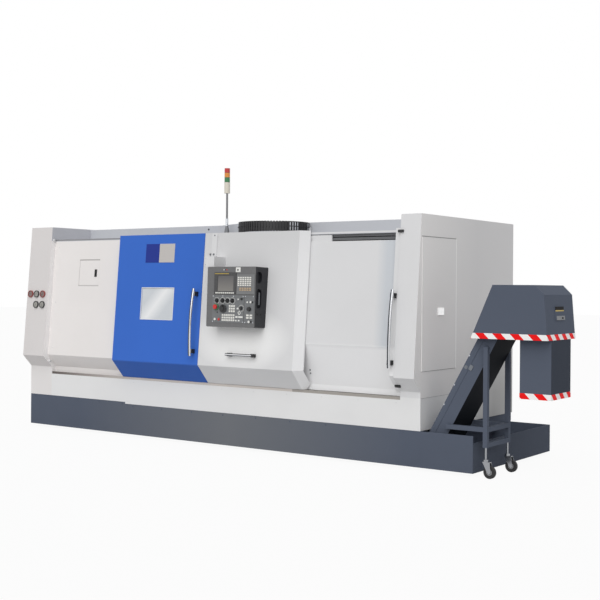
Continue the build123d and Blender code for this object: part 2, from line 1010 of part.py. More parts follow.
def panel_bar_handle():
    """The level pull bar under the console."""
    plane = front_plane(bar_handle_left, bar_handle_height, -door_proud)
    start = tuple((plane * Pos(0, 0, bar_stand_off)).position)
    bar = rod(start, (1, 0, 0), bar_handle_radius, bar_handle_length)
    pieces = [bar]
    half = bar_foot / 2
    for x in (bar_foot, bar_handle_length - bar_foot):
        foot = on_plane(plane, x - half, x + half, -half, half, 0, bar_stand_off)
        pieces.append(foot - bar)
    return pieces


def tail_profile(front, back, top):
    """Side profile of the tailstock door between two setbacks."""
    foot_back = recess_foot_y + tail_door_depth
    return [
        (lean_y(top) + front, top),
        (lean_y(tail_bend_height) + front, tail_bend_height),
        (recess_foot_y + front - recess_setback, recess_foot_height),
        (recess_foot_y + front - recess_setback, door_bottom),
        (foot_back, door_bottom),
        (foot_back, recess_foot_height),
        (lean_y(tail_bend_height) + back, tail_bend_height),
        (lean_y(top) + back, top),
    ]


def tail_door():
    """The recessed tailstock door, with its edge strip, hanger and bottom shoes."""
    strip_left = tail_door_right - tail_strip_width
    back = recess_setback + tail_door_depth
    pan = prism_x(tail_profile(recess_setback, back, tail_door_top), tail_door_left, strip_left)
    hollow_front = recess_setback + sheet
    open_back = recess_foot_y + tail_door_depth + cut_over
    hollow = [
        (lean_y(tail_door_top - sheet) + hollow_front, tail_door_top - sheet),
        (lean_y(tail_bend_height) + hollow_front, tail_bend_height),
        (recess_foot_y + sheet, recess_foot_height),
        (recess_foot_y + sheet, door_bottom + sheet),
        (open_back, door_bottom + sheet),
        (open_back, tail_door_top - sheet),
    ]
    pan -= prism_x(hollow, tail_door_left + sheet, strip_left - sheet)
    strip_front = recess_setback - tail_strip_proud
    strip = [
        (lean_y(door_top) + strip_front, door_top),
        (lean_y(recess_bulge_height) + strip_front, recess_bulge_height),
        (tail_strip_foot_y, tail_strip_foot_height),
        (tail_strip_foot_y, door_bottom),
        (recess_foot_y + tail_door_depth, door_bottom),
        (recess_foot_y + tail_door_depth, tail_bend_height),
        (lean_y(tail_bend_height) + back, tail_bend_height),
        (lean_y(tail_door_top) + back, tail_door_top),
        (tail_strip_back, tail_door_top),
        (tail_strip_back, door_top),
    ]
    door = pan + prism_x(strip, strip_left, tail_door_right)
    door += block(
        hanger_left, hanger_left + hanger_width, hanger_front, hanger_front + hanger_thickness,
        hanger_bottom, hanger_top,
    )
    y0 = rear_rail_y + running_gap
    y1 = rear_rail_y + rear_rail_depth - running_gap
    for start in (tail_door_left + shoe_inset, tail_door_right - shoe_inset - shoe_length):
        door += block(start, start + shoe_length, y0, y1, rail_top + seat_gap, door_bottom + sheet)
    return [door]


def tail_door_handle():
    """The tailstock door's upright handle on its edge strip."""
    return bow_handle(
        tail_door_right - tail_strip_width / 2, tail_handle_bottom, tail_handle_height,
        recess_setback - tail_strip_proud, tail_handle_stand_off,
    )


def door_stops():
    """Rubber stops: two buffers for the main door and two catches for the tailstock door."""
    x0 = left_pillar_width
    stops = [
        rod_x(x0, x0 + stop_length, stop_top_y, stop_top_height, stop_radius),
        rod_x(x0, x0 + stop_length, stop_low_y, stop_low_height, stop_radius),
    ]
    start = -catch_overhang
    end = start + catch_width
    plane = front_plane(right_pillar_left, catch_top_height, 0)
    stops.append(on_plane(plane, start, end, -catch_height, 0, 0, catch_proud))
    plane = bevel_plane(right_pillar_left, catch_low_height)
    stops.append(on_plane(plane, start, end, 0, catch_height, 0, catch_proud))
    return stops


def end_access_cover():
    """The lift-off cover on the tailstock end, with its latch plate."""
    x0 = cabinet_length
    x1 = x0 + end_cover_thickness
    cover = block(
        x0, x1, end_cover_front, end_cover_front + end_cover_width,
        end_cover_bottom, end_cover_bottom + end_cover_height,
    )
    latch = block(
        x1, x1 + end_latch_proud, end_latch_front, end_latch_front + end_latch_width,
        end_latch_bottom, end_latch_bottom + end_latch_height,
    )
    return [cover, latch]


def pressure_gauges():
    """Five dial gauges on the pillar, each a rimmed case with a dished face."""
    places = [(x, gauge_upper_height) for x in gauge_upper_x]
    places += [(x, gauge_lower_height) for x in gauge_lower_x]
    gauges = []
    for x, height in places:
        plane = front_plane(x, height, 0)
        out = tuple(plane.z_dir)
        case = rod(tuple(plane.origin), out, gauge_radius, gauge_depth)
        dish = tuple((plane * Pos(0, 0, gauge_depth - gauge_dish)).position)
        gauges.append(case - rod(dish, out, gauge_radius - gauge_rim, gauge_dish + cut_over))
    return gauges


def console_plane():
    """The console's work plane: X across, Y up its face, Z out, with the face at its depth."""
    low = lean_y(console_bottom) - door_proud - console_depth
    high = lean_y(console_bottom + console_height) - door_proud - console_top_depth
    tilt = math.atan2(high - low, console_height)
    out = Vector(0, -math.cos(tilt), math.sin(tilt))
    origin = Vector(console_left, low, console_bottom) - out * console_depth
    return Plane(origin=origin, x_dir=(1, 0, 0), z_dir=out)


def behind_door_face(x0, x1):
    """The space behind the middle door's leaning face, to cut off what stands on the face."""
    z0, z1 = door_bulge_height, door_top
    back = console_depth
    profile = [(lean_y(z0) - door_proud, z0), (lean_y(z1) - door_proud, z1), (back, z1), (back, z0)]
    return prism_x(profile, x0, x1)


def console_spot(shares, out):
    """A place on the console by shares of its width and height, at a distance from the door."""
    return Pos(shares[0] * console_width, shares[1] * console_height, out)


def console_patch(shares, z0, z1):
    """A block on the console between two corners given as shares."""
    x0, y0, x1, y1 = shares
    return on_plane(
        console_plane(), x0 * console_width, x1 * console_width,
        y0 * console_height, y1 * console_height, z0, z1,
    )


def console_rod(shares, z0, z1, radius):
    """A round bar square to the console's face."""
    plane = console_plane()
    start = tuple((plane * console_spot(shares, z0)).position)
    return rod(start, tuple(plane.z_dir), radius, z1 - z0)


def stem_holes():
    """The holes that the push buttons' stems slide in."""
    z0 = console_depth - stem_depth
    z1 = console_depth + unit_proud + cut_over
    holes = [console_rod(estop_shares, z0, z1, estop_stem_radius + running_gap)]
    for shares in (start_button_shares, hold_button_shares):
        holes.append(console_rod(shares, z0, z1, button_radius + running_gap))
    return holes


def console_box():
    """The console's wedge-shaped housing, with two grip recesses in its far side."""
    plane = console_plane()
    box = block(0, console_width, 0, console_height, -console_depth, console_depth)
    box = fillet(box.edges().filter_by(Axis.Z), console_edge)
    recesses = (
        (grip_length, grip_width, grip_height_share, grip_setback_share),
        (upper_grip_length, upper_grip_width, upper_grip_height_share, upper_grip_setback_share),
    )
    for length, width, height_share, setback_share in recesses:
        middle = (console_width, height_share * console_height, (1 - setback_share) * console_depth)
        slot = Plane(origin=middle, x_dir=(0, 1, 0), z_dir=(1, 0, 0)) * SlotOverall(length, width)
        box -= extrude(slot, amount=grip_depth, both=True)
    box = plane * box - behind_door_face(console_left - cut_over, console_left + console_width + cut_over)
    for hole in stem_holes():
        box -= hole
    return [box]


def console_bracket():
    """The bracket that holds the console's top to the door, with the cable channel over it."""
    left = panel_door_left + bracket_inset
    plane = front_plane(left, bracket_bottom, -door_proud)
    rise = (door_top - channel_top_gap - bracket_bottom) / math.cos(lean)
    bracket = on_plane(plane, 0, bracket_width, 0, bracket_height, 0, bracket_thickness)
    channel_right = channel_inset + channel_width
    bracket += on_plane(plane, channel_inset, channel_right, bracket_height, rise, 0, channel_proud)
    x0 = left + bracket_arm_inset - console_left
    arm = on_plane(
        console_plane(), x0, x0 + bracket_arm_width, console_height, console_height + bracket_arm_height,
        -console_depth, console_depth - bracket_arm_setback,
    )
    arm -= behind_door_face(left, console_left + console_width)
    return [bracket + arm]


def key_grid(shares, columns, rows, z0):
    """Rows of square keys that fill a patch of the console."""
    x0, y0, x1, y1 = shares
    step_x = (x1 - x0) / columns
    step_y = (y1 - y0) / rows
    keys = []
    for row in range(rows):
        for column in range(columns):
            left = x0 + (column + (1 - key_fill_share) / 2) * step_x
            low = y0 + (row + (1 - key_fill_share) / 2) * step_y
            patch = (left, low, left + key_fill_share * step_x, low + key_fill_share * step_y)
            keys.append(console_patch(patch, z0, z0 + key_proud))
    return keys


def console_units():
    """Display, keyboard and switch plates on the console, with their keys."""
    z0 = console_depth
    bezel = console_patch(bezel_shares, z0, z0 + unit_proud)
    bezel -= console_patch(screen_shares, z0 + unit_proud - screen_sink, z0 + unit_proud + cut_over)
    keyboard = console_patch(key_unit_shares, z0, z0 + unit_proud)
    desk = console_patch(desk_shares, z0, z0 + plate_proud)
    side_desk = console_patch(side_desk_shares, z0, z0 + plate_proud)
    top = z0 + plate_proud
    ring = console_rod(estop_shares, top, top + estop_ring_height, estop_ring_radius)
    rims = [
        console_rod(shares, top, top + button_rim_height, button_rim_radius)
        for shares in (start_button_shares, hold_button_shares)
    ]
    for solid in (ring, *rims):
        desk += solid
    for hole in stem_holes():
        desk -= hole
    keys = key_grid(soft_key_shares, soft_key_count, 1, z0 + unit_proud)
    keys += key_grid(letter_key_shares, *letter_key_grid, z0 + unit_proud)
    keys += key_grid(number_key_shares, *number_key_grid, z0 + unit_proud)
    keys += key_grid(axis_key_shares, *axis_key_grid, top)
    keys += key_grid(mode_key_shares, *mode_key_grid, top)
    keys += key_grid(side_key_shares, *side_key_grid, top)
    return [bezel, keyboard, desk, side_desk, *keys]


def rotary_knob(column_share):
    """A rotary switch: skirt, round grip and pointer ridge."""
    shares = (column_share, knob_row_share)
    z0 = console_depth + plate_proud
    knob = console_rod(shares, z0, z0 + knob_skirt_height, knob_skirt_radius)
    knob += console_rod(shares, z0, z0 + knob_height, knob_radius)
    half = knob_ridge_width / 2
    ridge = console_plane() * console_spot(shares, 0) * block(
        -half, half, -knob_radius, knob_skirt_radius, z0, z0 + knob_height + knob_skirt_height,
    )
    return [knob + ridge]


def emergency_stop():
    """The mushroom stop button on its stem."""
    top = console_depth + plate_proud + estop_stem_height
    stem = console_rod(estop_shares, console_depth, top, estop_stem_radius)
    return [stem + console_rod(estop_shares, top, top + estop_height, estop_radius)]


def push_button(shares):
    """A round push button in its rim."""
    return [console_rod(shares, console_depth, console_depth + plate_proud + button_proud, button_radius)]


def handwheel():
    """The pulse handwheel with its finger knob."""
    z0 = console_depth + plate_proud
    z1 = z0 + handwheel_height
    wheel = console_rod(handwheel_shares, z0, z1, handwheel_radius)
    wheel += console_rod(handwheel_shares, z1, z1 + handwheel_hub_height, handwheel_hub_radius)
    reach = finger_knob_place_share * handwheel_radius
    spot = (handwheel_shares[0], handwheel_shares[1] + reach / console_height)
    return [wheel + console_rod(spot, z1, z1 + finger_knob_height, finger_knob_radius)]


def tower_stand():
    """The signal tower's foot, pole and housing."""
    stand = rod_z(tower_x, tower_y, roof_top, roof_top + tower_foot_height, tower_foot_radius)
    stand += rod_z(tower_x, tower_y, roof_top, tower_housing_bottom, tower_pole_radius)
    stand += rod_z(
        tower_x, tower_y, tower_housing_bottom, tower_housing_top, tower_housing_radius,
    )
    return [stand]


def tower_lenses():
    """Three stacked lamp lenses: green, amber and red, from the bottom."""
    lenses = []
    for i in range(tower_lens_count):
        z0 = tower_housing_top + i * tower_lens_height
        lens = rod_z(tower_x, tower_y, z0, z0 + tower_lens_height, tower_lens_radius)
        lenses.append(lens)
    return lenses


def chain_arc():
    """The chain's arc in plan, through both ends and up to the front line: middle, radius, end turns."""
    start = chain_start_y - chain_front_y
    end = chain_end_y - chain_front_y
    whole = chain_span ** 2 + end * (end - start)
    reach = whole / (chain_span + math.sqrt(chain_span ** 2 + (end / start - 1) * whole))
    radius = (reach ** 2 + start ** 2) / (2 * start)
    first = math.atan2(-reach, radius - start)
    last = math.atan2(chain_span - reach, radius - end)
    return chain_start_x + reach, chain_front_y + radius, radius, first, last


def drag_chain():
    """The cable chain: links round an arc in plan, with its fixed end plate."""
    middle_x, middle_y, radius, first, last = chain_arc()
    z0 = roof_top + chain_lift
    z1 = z0 + chain_height

    def place(turn, reach):
        return (middle_x + reach * math.sin(turn), middle_y - reach * math.cos(turn), z0)

    inner = radius - chain_waist / 2
    outer = radius + chain_waist / 2
    half_way = (first + last) / 2
    outline = [
        ThreePointArc(place(first, outer), place(half_way, outer), place(last, outer)),
        Line(place(last, outer), place(last, inner)),
        ThreePointArc(place(last, inner), place(half_way, inner), place(first, inner)),
        Line(place(first, inner), place(first, outer)),
    ]
    chain = extrude(make_face(outline), amount=chain_height, dir=(0, 0, 1))
    step = (last - first) / chain_link_count
    length = chain_link_share * step * radius
    half = chain_thickness / 2
    for i in range(chain_link_count):
        turn = math.degrees(first + (i + 1 / 2) * step)
        link = block(-length / 2, length / 2, -radius - half, -radius + half, z0, z1)
        chain += Pos(middle_x, middle_y, 0) * Rot(0, 0, turn) * link
    plate = block(
        chain_start_x - chain_plate_length, chain_start_x,
        chain_start_y - chain_plate_thickness, chain_start_y, roof_top, z1,
    )
    return [chain + plate]


def bed_casting():
    """The cored slant bed with its two box ways and the feed screw's bearing blocks."""
    high_y, high_z = slope(bed_high_s, bed_face_n)
    outline = [
        (bed_front, pad_height),
        (bed_front, bed_shoulder),
        slope(bed_low_s, bed_face_n),
        (high_y, high_z),
        (high_y + bed_crest, high_z),
        (bed_back, bed_shoulder),
        (bed_back, pad_height),
    ]
    section = make_face(Polyline(*[(bed_left, y, z) for y, z in outline], close=True))
    core = offset(section, amount=-bed_wall, kind=Kind.INTERSECTION)
    length = bed_right - bed_left
    bed = extrude(section, amount=length, dir=(1, 0, 0)) - extrude(core, amount=length, dir=(1, 0, 0))
    for start in (way_low_s, way_high_s):
        bed += slope_bar(start, start + way_width, bed_face_n, way_top_n, bed_left, bed_right)
    y, z = slope(screw_s, screw_n)
    hole = rod_x(bed_left, bed_right, y, z, screw_radius + running_gap)
    for x in (screw_left + running_gap, screw_right - screw_block_length):
        bearing = slope_bar(
            screw_s - screw_block_half, screw_s + screw_block_half,
            bed_face_n, screw_n + screw_radius + seat_gap, x, x + screw_block_length,
        )
        bed += bearing - hole
    return [bed]


def headstock():
    """The headstock casting on the ways, bored for the spindle."""
    half, crown = headstock_half, headstock_crown_half
    profile = [
        slope(-half, way_top_n), slope(half, way_top_n), slope(half, headstock_shoulder_n),
        slope(crown, headstock_crown_n), slope(-crown, headstock_crown_n),
        slope(-half, headstock_shoulder_n),
    ]
    casting = prism_x(profile, headstock_left, headstock_right)
    bore = spindle_radius + running_gap
    return [casting - rod_x(headstock_left, headstock_right, spindle_y, spindle_z, bore)]


def spindle():
    """The hollow spindle with its nose flange."""
    x0 = headstock_left - spindle_tail
    body = rod_x(x0, nose_face, spindle_y, spindle_z, spindle_radius)
    body += rod_x(headstock_right, nose_face, spindle_y, spindle_z, nose_radius)
    return [body - rod_x(x0, nose_face, spindle_y, spindle_z, spindle_bore)]


def around_spindle(angle):
    """A turn about the spindle's axis, from straight up."""
    return Pos(0, spindle_y, spindle_z) * Rot(angle, 0, 0)


def jaw_angles():
    """Angles of the chuck's jaws about the spindle."""
    return [i * 360 / jaw_count for i in range(jaw_count)]


def chuck_body():
    """The chuck's body with a rounded rim and a guide slot for each jaw."""
    body = rod_x(nose_face, chuck_face, spindle_y, spindle_z, chuck_radius)
    body = fillet(body.edges().filter_by(GeomType.CIRCLE), chuck_rim)
    body -= rod_x(nose_face, chuck_face, spindle_y, spindle_z, chuck_bore)
    half = jaw_slot_width / 2
    for angle in jaw_angles():
        slot = block(
            chuck_face - jaw_slot_depth, chuck_face + cut_over, -half, half, 0, chuck_radius + cut_over,
        )
        body -= around_spindle(angle) * slot
    return [body]


def chuck_jaw(angle):
    """A stepped jaw that slides in its slot."""
    half = jaw_slot_width / 2 - jaw_side_gap
    x0 = chuck_face - jaw_slot_depth
    jaw = block(x0, chuck_face + jaw_step_reach, -half, half, jaw_inner, jaw_outer)
    jaw += block(x0, chuck_face + jaw_reach, -half, half, jaw_inner + jaw_step, jaw_outer)
    return [around_spindle(angle) * jaw]


def drive_motors():
    """The spindle motor on the headstock's side and the feed motor at the screw's end."""
    x0 = spindle_motor_left
    x1 = x0 + spindle_motor_length
    low_s, high_s = headstock_half, spindle_motor_high_s
    low_n, high_n = spindle_motor_low_n, spindle_motor_high_n
    profile = [
        slope(low_s, low_n), slope(high_s - motor_corner, low_n), slope(high_s, low_n + motor_corner),
        slope(high_s, high_n - motor_corner), slope(high_s - motor_corner, high_n), slope(low_s, high_n),
    ]
    spindle_motor = prism_x(profile, x0, x1)
    half = feed_motor_half
    feed_motor = slope_bar(
        screw_s - half, screw_s + half, bed_face_n, bed_face_n + 2 * half,
        screw_right, screw_right + feed_motor_length,
    )
    return [spindle_motor, feed_motor]


def z_ballscrew():
    """The long feed screw between its bearing blocks."""
    y, z = slope(screw_s, screw_n)
    return [rod_x(screw_left, screw_right, y, z, screw_radius)]


def carriage():
    """The saddle on the ways, with the nut for the feed screw."""
    x0 = carriage_left
    x1 = x0 + carriage_length
    saddle = slope_bar(carriage_low_s, carriage_high_s, way_top_n, carriage_top_n, x0, x1)
    nut = slope_bar(
        screw_s - nut_half, screw_s + nut_half, nut_bottom_n, way_top_n,
        x0 + nut_left, x0 + nut_left + nut_length,
    )
    y, z = slope(screw_s, screw_n)
    return [saddle + (nut - rod_x(x0, x1, y, z, screw_radius + running_gap))]


def cross_slide():
    """The cross slide and the turret's housing, bored for the turret's shaft."""
    x0 = carriage_left + cross_left_inset
    x1 = carriage_left + carriage_length - cross_left_inset
    plate = slope_bar(cross_low_s, cross_high_s, carriage_top_n, cross_top_n, x0, x1)
    low, high = turret_s - turret_half, turret_s + turret_half
    corner = turret_corner
    profile = [
        slope(low, cross_top_n), slope(high, cross_top_n), slope(high, turret_top_n - corner),
        slope(high - corner, turret_top_n), slope(low + corner, turret_top_n),
        slope(low, turret_top_n - corner),
    ]
    left = carriage_left + turret_inset
    y, z = slope(turret_s, 0)
    bore = rod_x(left, left + turret_shaft_length, y, z, turret_shaft_radius + running_gap)
    return [plate + prism_x(profile, left, left + turret_length) - bore]


def turret_disc():
    """The many-sided tool disc on its shaft, with a tool block on every other side."""
    y, z = slope(turret_s, 0)
    face = Plane(origin=(disc_left, y, z), x_dir=(0, slope_cos, slope_sin), z_dir=(1, 0, 0))
    side_turn = 180 / disc_sides
    disc = face * extrude(RegularPolygon(disc_radius, disc_sides, rotation=side_turn), amount=disc_length)
    disc += rod_x(disc_left - disc_hub_length, disc_left, y, z, disc_hub_radius)
    shaft_right = carriage_left + turret_inset + turret_shaft_length - disc_gap
    disc += rod_x(disc_right, shaft_right, y, z, turret_shaft_radius)
    flat = disc_radius * math.cos(math.pi / disc_sides)
    half = tool_width / 2
    shank = shank_width / 2
    pieces = [disc]
    for i in range(tool_count):
        turn = face * Rot(0, 0, i * 360 / tool_count)
        start = (disc_length - tool_length) / 2
        tool = block(flat, flat + tool_reach - shank_reach, -half, half, start, start + tool_length)
        tool += block(flat, flat + tool_reach, -shank, shank, start, start + shank_width)
        pieces.append(turn * tool)
    return pieces


def tailstock():
    """The tailstock casting on the ways, bored for the quill."""
    half, crown = tailstock_half, tailstock_crown_half
    profile = [
        slope(tailstock_low_s, way_top_n), slope(tailstock_high_s, way_top_n),
        slope(tailstock_high_s, tailstock_base_n), slope(half, tailstock_neck_n),
        slope(half, tailstock_shoulder_n), slope(crown, tailstock_crown_n),
        slope(-crown, tailstock_crown_n), slope(-half, tailstock_shoulder_n),
        slope(-half, tailstock_neck_n), slope(tailstock_low_s, tailstock_base_n),
    ]
    right = tailstock_left + tailstock_length
    bore = rod_x(tailstock_left, right, spindle_y, spindle_z, quill_radius + running_gap)
    return [prism_x(profile, tailstock_left, right) - bore]


def quill():
    """The tailstock's sliding quill, bored for the live centre."""
    body = rod_x(quill_left, quill_left + quill_length, spindle_y, spindle_z, quill_radius)
    bore = centre_shank_radius + running_gap
    return [body - rod_x(quill_left, quill_left + centre_shank_length, spindle_y, spindle_z, bore)]


def live_centre():
    """The turning centre: a shank in the quill, a body and a point."""
    body_left = quill_left - centre_body_length
    point = body_left - centre_cone_radius / math.tan(math.radians(centre_half_angle))
    outline = Polyline(
        (point, 0), (body_left, centre_cone_radius), (body_left, centre_body_radius),
        (quill_left, centre_body_radius), (quill_left, centre_shank_radius),
        (quill_left + centre_shank_length - seat_gap, centre_shank_radius),
        (quill_left + centre_shank_length - seat_gap, 0), close=True,
    )
    turned = revolve(make_face(outline), axis=Axis.X)
    return [Pos(0, spindle_y, spindle_z) * turned]


def trough_outline(length):
    """The conveyor's bent outline in (x, z), as far as a length up the incline."""
    rise_x, rise_z = length * incline_cos, length * incline_sin
    lift_x, lift_z = -trough_thickness * incline_sin, trough_thickness * incline_cos
    foot = (incline_foot_x, trough_floor)
    top = trough_floor + trough_thickness
    bend_x = foot[0] + lift_x + (trough_thickness - lift_z) * incline_cos / incline_sin
    return [
        (trough_left, trough_floor),
        foot,
        (foot[0] + rise_x, foot[1] + rise_z),
        (foot[0] + rise_x + lift_x, foot[1] + rise_z + lift_z),
        (bend_x, top),
        (trough_left, top),
    ]


def conveyor_ring(length, gap, y0, y1):
    """The conveyor's outline drawn in by a gap, as a solid across the conveyor."""
    outline = Polyline(*[(x, y0, z) for x, z in trough_outline(length)], close=True)
    face = make_face(outline)
    if gap:
        face = offset(face, amount=-gap, kind=Kind.INTERSECTION)
    return extrude(face, amount=y1 - y0, dir=(0, 1, 0))


def incline_bar(start, end, low, high, y0, y1):
    """A bar along the incline between two heights above its lower edge."""

    def point(along, up):
        return (
            incline_foot_x + along * incline_cos - up * incline_sin,
            trough_floor + along * incline_sin + up * incline_cos,
        )

    return prism_y([point(start, low), point(end, low), point(end, high), point(start, high)], y0, y1)


def conveyor_trough():
    """The sheet-metal trough: open over the chips, closed on the incline, with a lid flange."""
    y0, y1 = conveyor_front, conveyor_back
    wall = conveyor_wall
    trough = conveyor_ring(incline_length, 0, y0, y1)
    trough -= conveyor_ring(incline_length + cut_over, wall, y0 + wall, y1 - wall)
    top = trough_floor + trough_thickness
    trough -= block(chip_mouth_left, chip_mouth_right, y0 + wall, y1 - wall, top - 2 * wall, top + cut_over)
    low = trough_thickness - lid_depth
    for y in (y0 - lid_thickness, y1):
        trough += incline_bar(lid_start, incline_length, low, trough_thickness, y, y + lid_thickness)
    foot_step = (incline_foot_x - trough_left) / trough_foot_count
    for i in range(trough_foot_count):
        x = trough_left + (i + 1 / 2) * foot_step
        trough += block(x, x + trough_foot_length, y0, y1, pad_height + tank_wall, trough_floor)
    return [trough]


def conveyor_belt():
    """The slat belt's loop in the trough, with cleats across it."""
    y0 = conveyor_front + conveyor_wall + belt_side_gap
    y1 = conveyor_back - conveyor_wall - belt_side_gap
    gap = conveyor_wall + belt_gap
    length = incline_length + belt_head
    belt = conveyor_ring(length, gap, y0, y1)
    belt -= conveyor_ring(length, gap + belt_thickness, y0 - cut_over, y1 + cut_over)
    height = belt_gap - seat_gap
    floor = trough_floor + conveyor_wall + seat_gap
    top = trough_floor + trough_thickness - gap
    count = int((incline_foot_x - trough_left) / cleat_pitch)
    for i in range(1, count):
        x = trough_left + i * cleat_pitch
        belt += block(x, x + cleat_thickness, y0, y1, floor, floor + height)
        belt += block(x, x + cleat_thickness, y0, y1, top, top + height)
    for i in range(1, int(incline_length / cleat_pitch) + 1):
        start = i * cleat_pitch
        low = conveyor_wall + seat_gap
        high = trough_thickness - gap
        belt += incline_bar(start, start + cleat_thickness, low, low + height, y0, y1)
        belt += incline_bar(start, start + cleat_thickness, high, high + height, y0, y1)
    return [belt]


def hood_outline(inset):
    """The conveyor hood's outline in (x, z)."""
    return [
        (hood_left + inset, hood_bottom - (cut_over if inset else 0)),
        (hood_top_left + inset, hood_top - inset),
        (hood_top_right - inset, hood_top - inset),
        (hood_shoulder_x - inset, hood_shoulder),
        (hood_right - inset, hood_bottom - (cut_over if inset else 0)),
    ]


def conveyor_hood():
    """The drive hood: a sheet shell with a bottom plate round the trough and the chute."""
    y0, y1 = hood_front, hood_front + hood_depth
    wall = conveyor_wall
    hood = prism_y(hood_outline(0), y0, y1)
    hood -= prism_y(hood_outline(wall), y0 + wall, y1 - wall)
    floor = prism_y(hood_outline(0), y0, y1) & block(
        hood_left, hood_right, y0, y1, hood_bottom, hood_bottom + wall,
    )
    gap = seat_gap
    floor -= conveyor_ring(incline_length, -gap, conveyor_front - lid_thickness - gap,
                           conveyor_back + lid_thickness + gap)
    floor -= block(
        chute_left + wall, chute_right - wall, chute_front + wall, chute_front + chute_depth - wall,
        hood_bottom - cut_over, hood_top,
    )
    return [hood + floor]


def conveyor_chute():
    """The square discharge chute under the hood."""
    wall = conveyor_wall
    y1 = chute_front + chute_depth
    tube = block(chute_left, chute_right, chute_front, y1, chute_bottom, hood_bottom)
    tube -= block(
        chute_left + wall, chute_right - wall, chute_front + wall, y1 - wall,
        chute_bottom - cut_over, hood_bottom + cut_over,
    )
    return [tube]


def hood_end_x(height):
    """The hood's end face at a height."""
    share = (hood_shoulder - height) / (hood_shoulder - hood_bottom)
    return hood_shoulder_x + share * (hood_right - hood_shoulder_x)


def conveyor_control_box():
    """The conveyor's switch box on the hood's end face."""
    top = control_bottom + control_height
    profile = [
        (hood_end_x(control_bottom), control_bottom),
        (hood_end_x(control_bottom) + control_proud, control_bottom),
        (hood_end_x(top) + control_proud, top),
        (hood_end_x(top), top),
    ]
    return [prism_y(profile, control_front, control_front + control_width)]


def leg_places():
    """Y of the front and rear conveyor legs, against the trough's sides."""
    return (conveyor_front - leg_size / 2, conveyor_back + leg_size / 2)


def conveyor_legs():
    """The welded leg frame: two legs, two cross bars and a brace to each side of the trough."""
    half = leg_size / 2
    front, rear = leg_places()
    x0, x1 = leg_x - half, leg_x + half
    frame = block(x0, x1, front - half, rear + half, leg_cross_bottom, leg_cross_bottom + leg_size)
    frame += block(x0, x1, front - half, rear + half, leg_brace_bottom, leg_brace_bottom + leg_size)
    brace_rise = leg_brace_bottom + half - trough_floor
    brace_end = incline_foot_x + brace_rise * incline_cos / incline_sin
    for y in (front, rear):
        frame += block(x0, x1, y - half, y + half, leg_bottom, leg_top)
        frame += block(
            brace_end - leg_size, leg_x, y - half, y + half,
            leg_brace_bottom, leg_brace_bottom + leg_size,
        )
    return [frame]


def caster_fork(y):
    """A swivel fork: stem, hub, plate, two cheeks and the axle."""
    top = fork_plate_height + fork_plate_thickness
    axle_x = leg_x + caster_trail
    inner = wheel_width / 2 + fork_side_gap
    outer = inner + fork_cheek
    fork = rod_z(leg_x, y, fork_plate_height, leg_bottom, caster_stem_radius)
    fork += rod_z(leg_x, y, fork_plate_height, top + fork_hub_height, fork_hub_radius)
    left = leg_x - fork_hub_radius
    fork += block(left, left + fork_plate_length, y - outer, y + outer, fork_plate_height, top)
    cheek = [
        (left, top), (left + fork_plate_length, top),
        (axle_x + fork_foot_radius, wheel_radius), (axle_x, wheel_radius - fork_foot_radius),
        (axle_x - fork_foot_radius, wheel_radius),
    ]
    for start in (y - outer, y + inner):
        fork += prism_y(cheek, start, start + fork_cheek)
    axle = rod((axle_x, y - outer, wheel_radius), (0, 1, 0), axle_radius, 2 * outer)
    return [fork + axle]


def caster_wheel(y):
    """A wheel with a rounded tread, bored for its axle."""
    axle_x = leg_x + caster_trail
    start = (axle_x, y - wheel_width / 2, wheel_radius)
    wheel = rod(start, (0, 1, 0), wheel_radius, wheel_width)
    wheel = fillet(wheel.edges().filter_by(GeomType.CIRCLE), wheel_tread_edge)
    return [wheel - rod(start, (0, 1, 0), axle_radius + running_gap, wheel_width)]


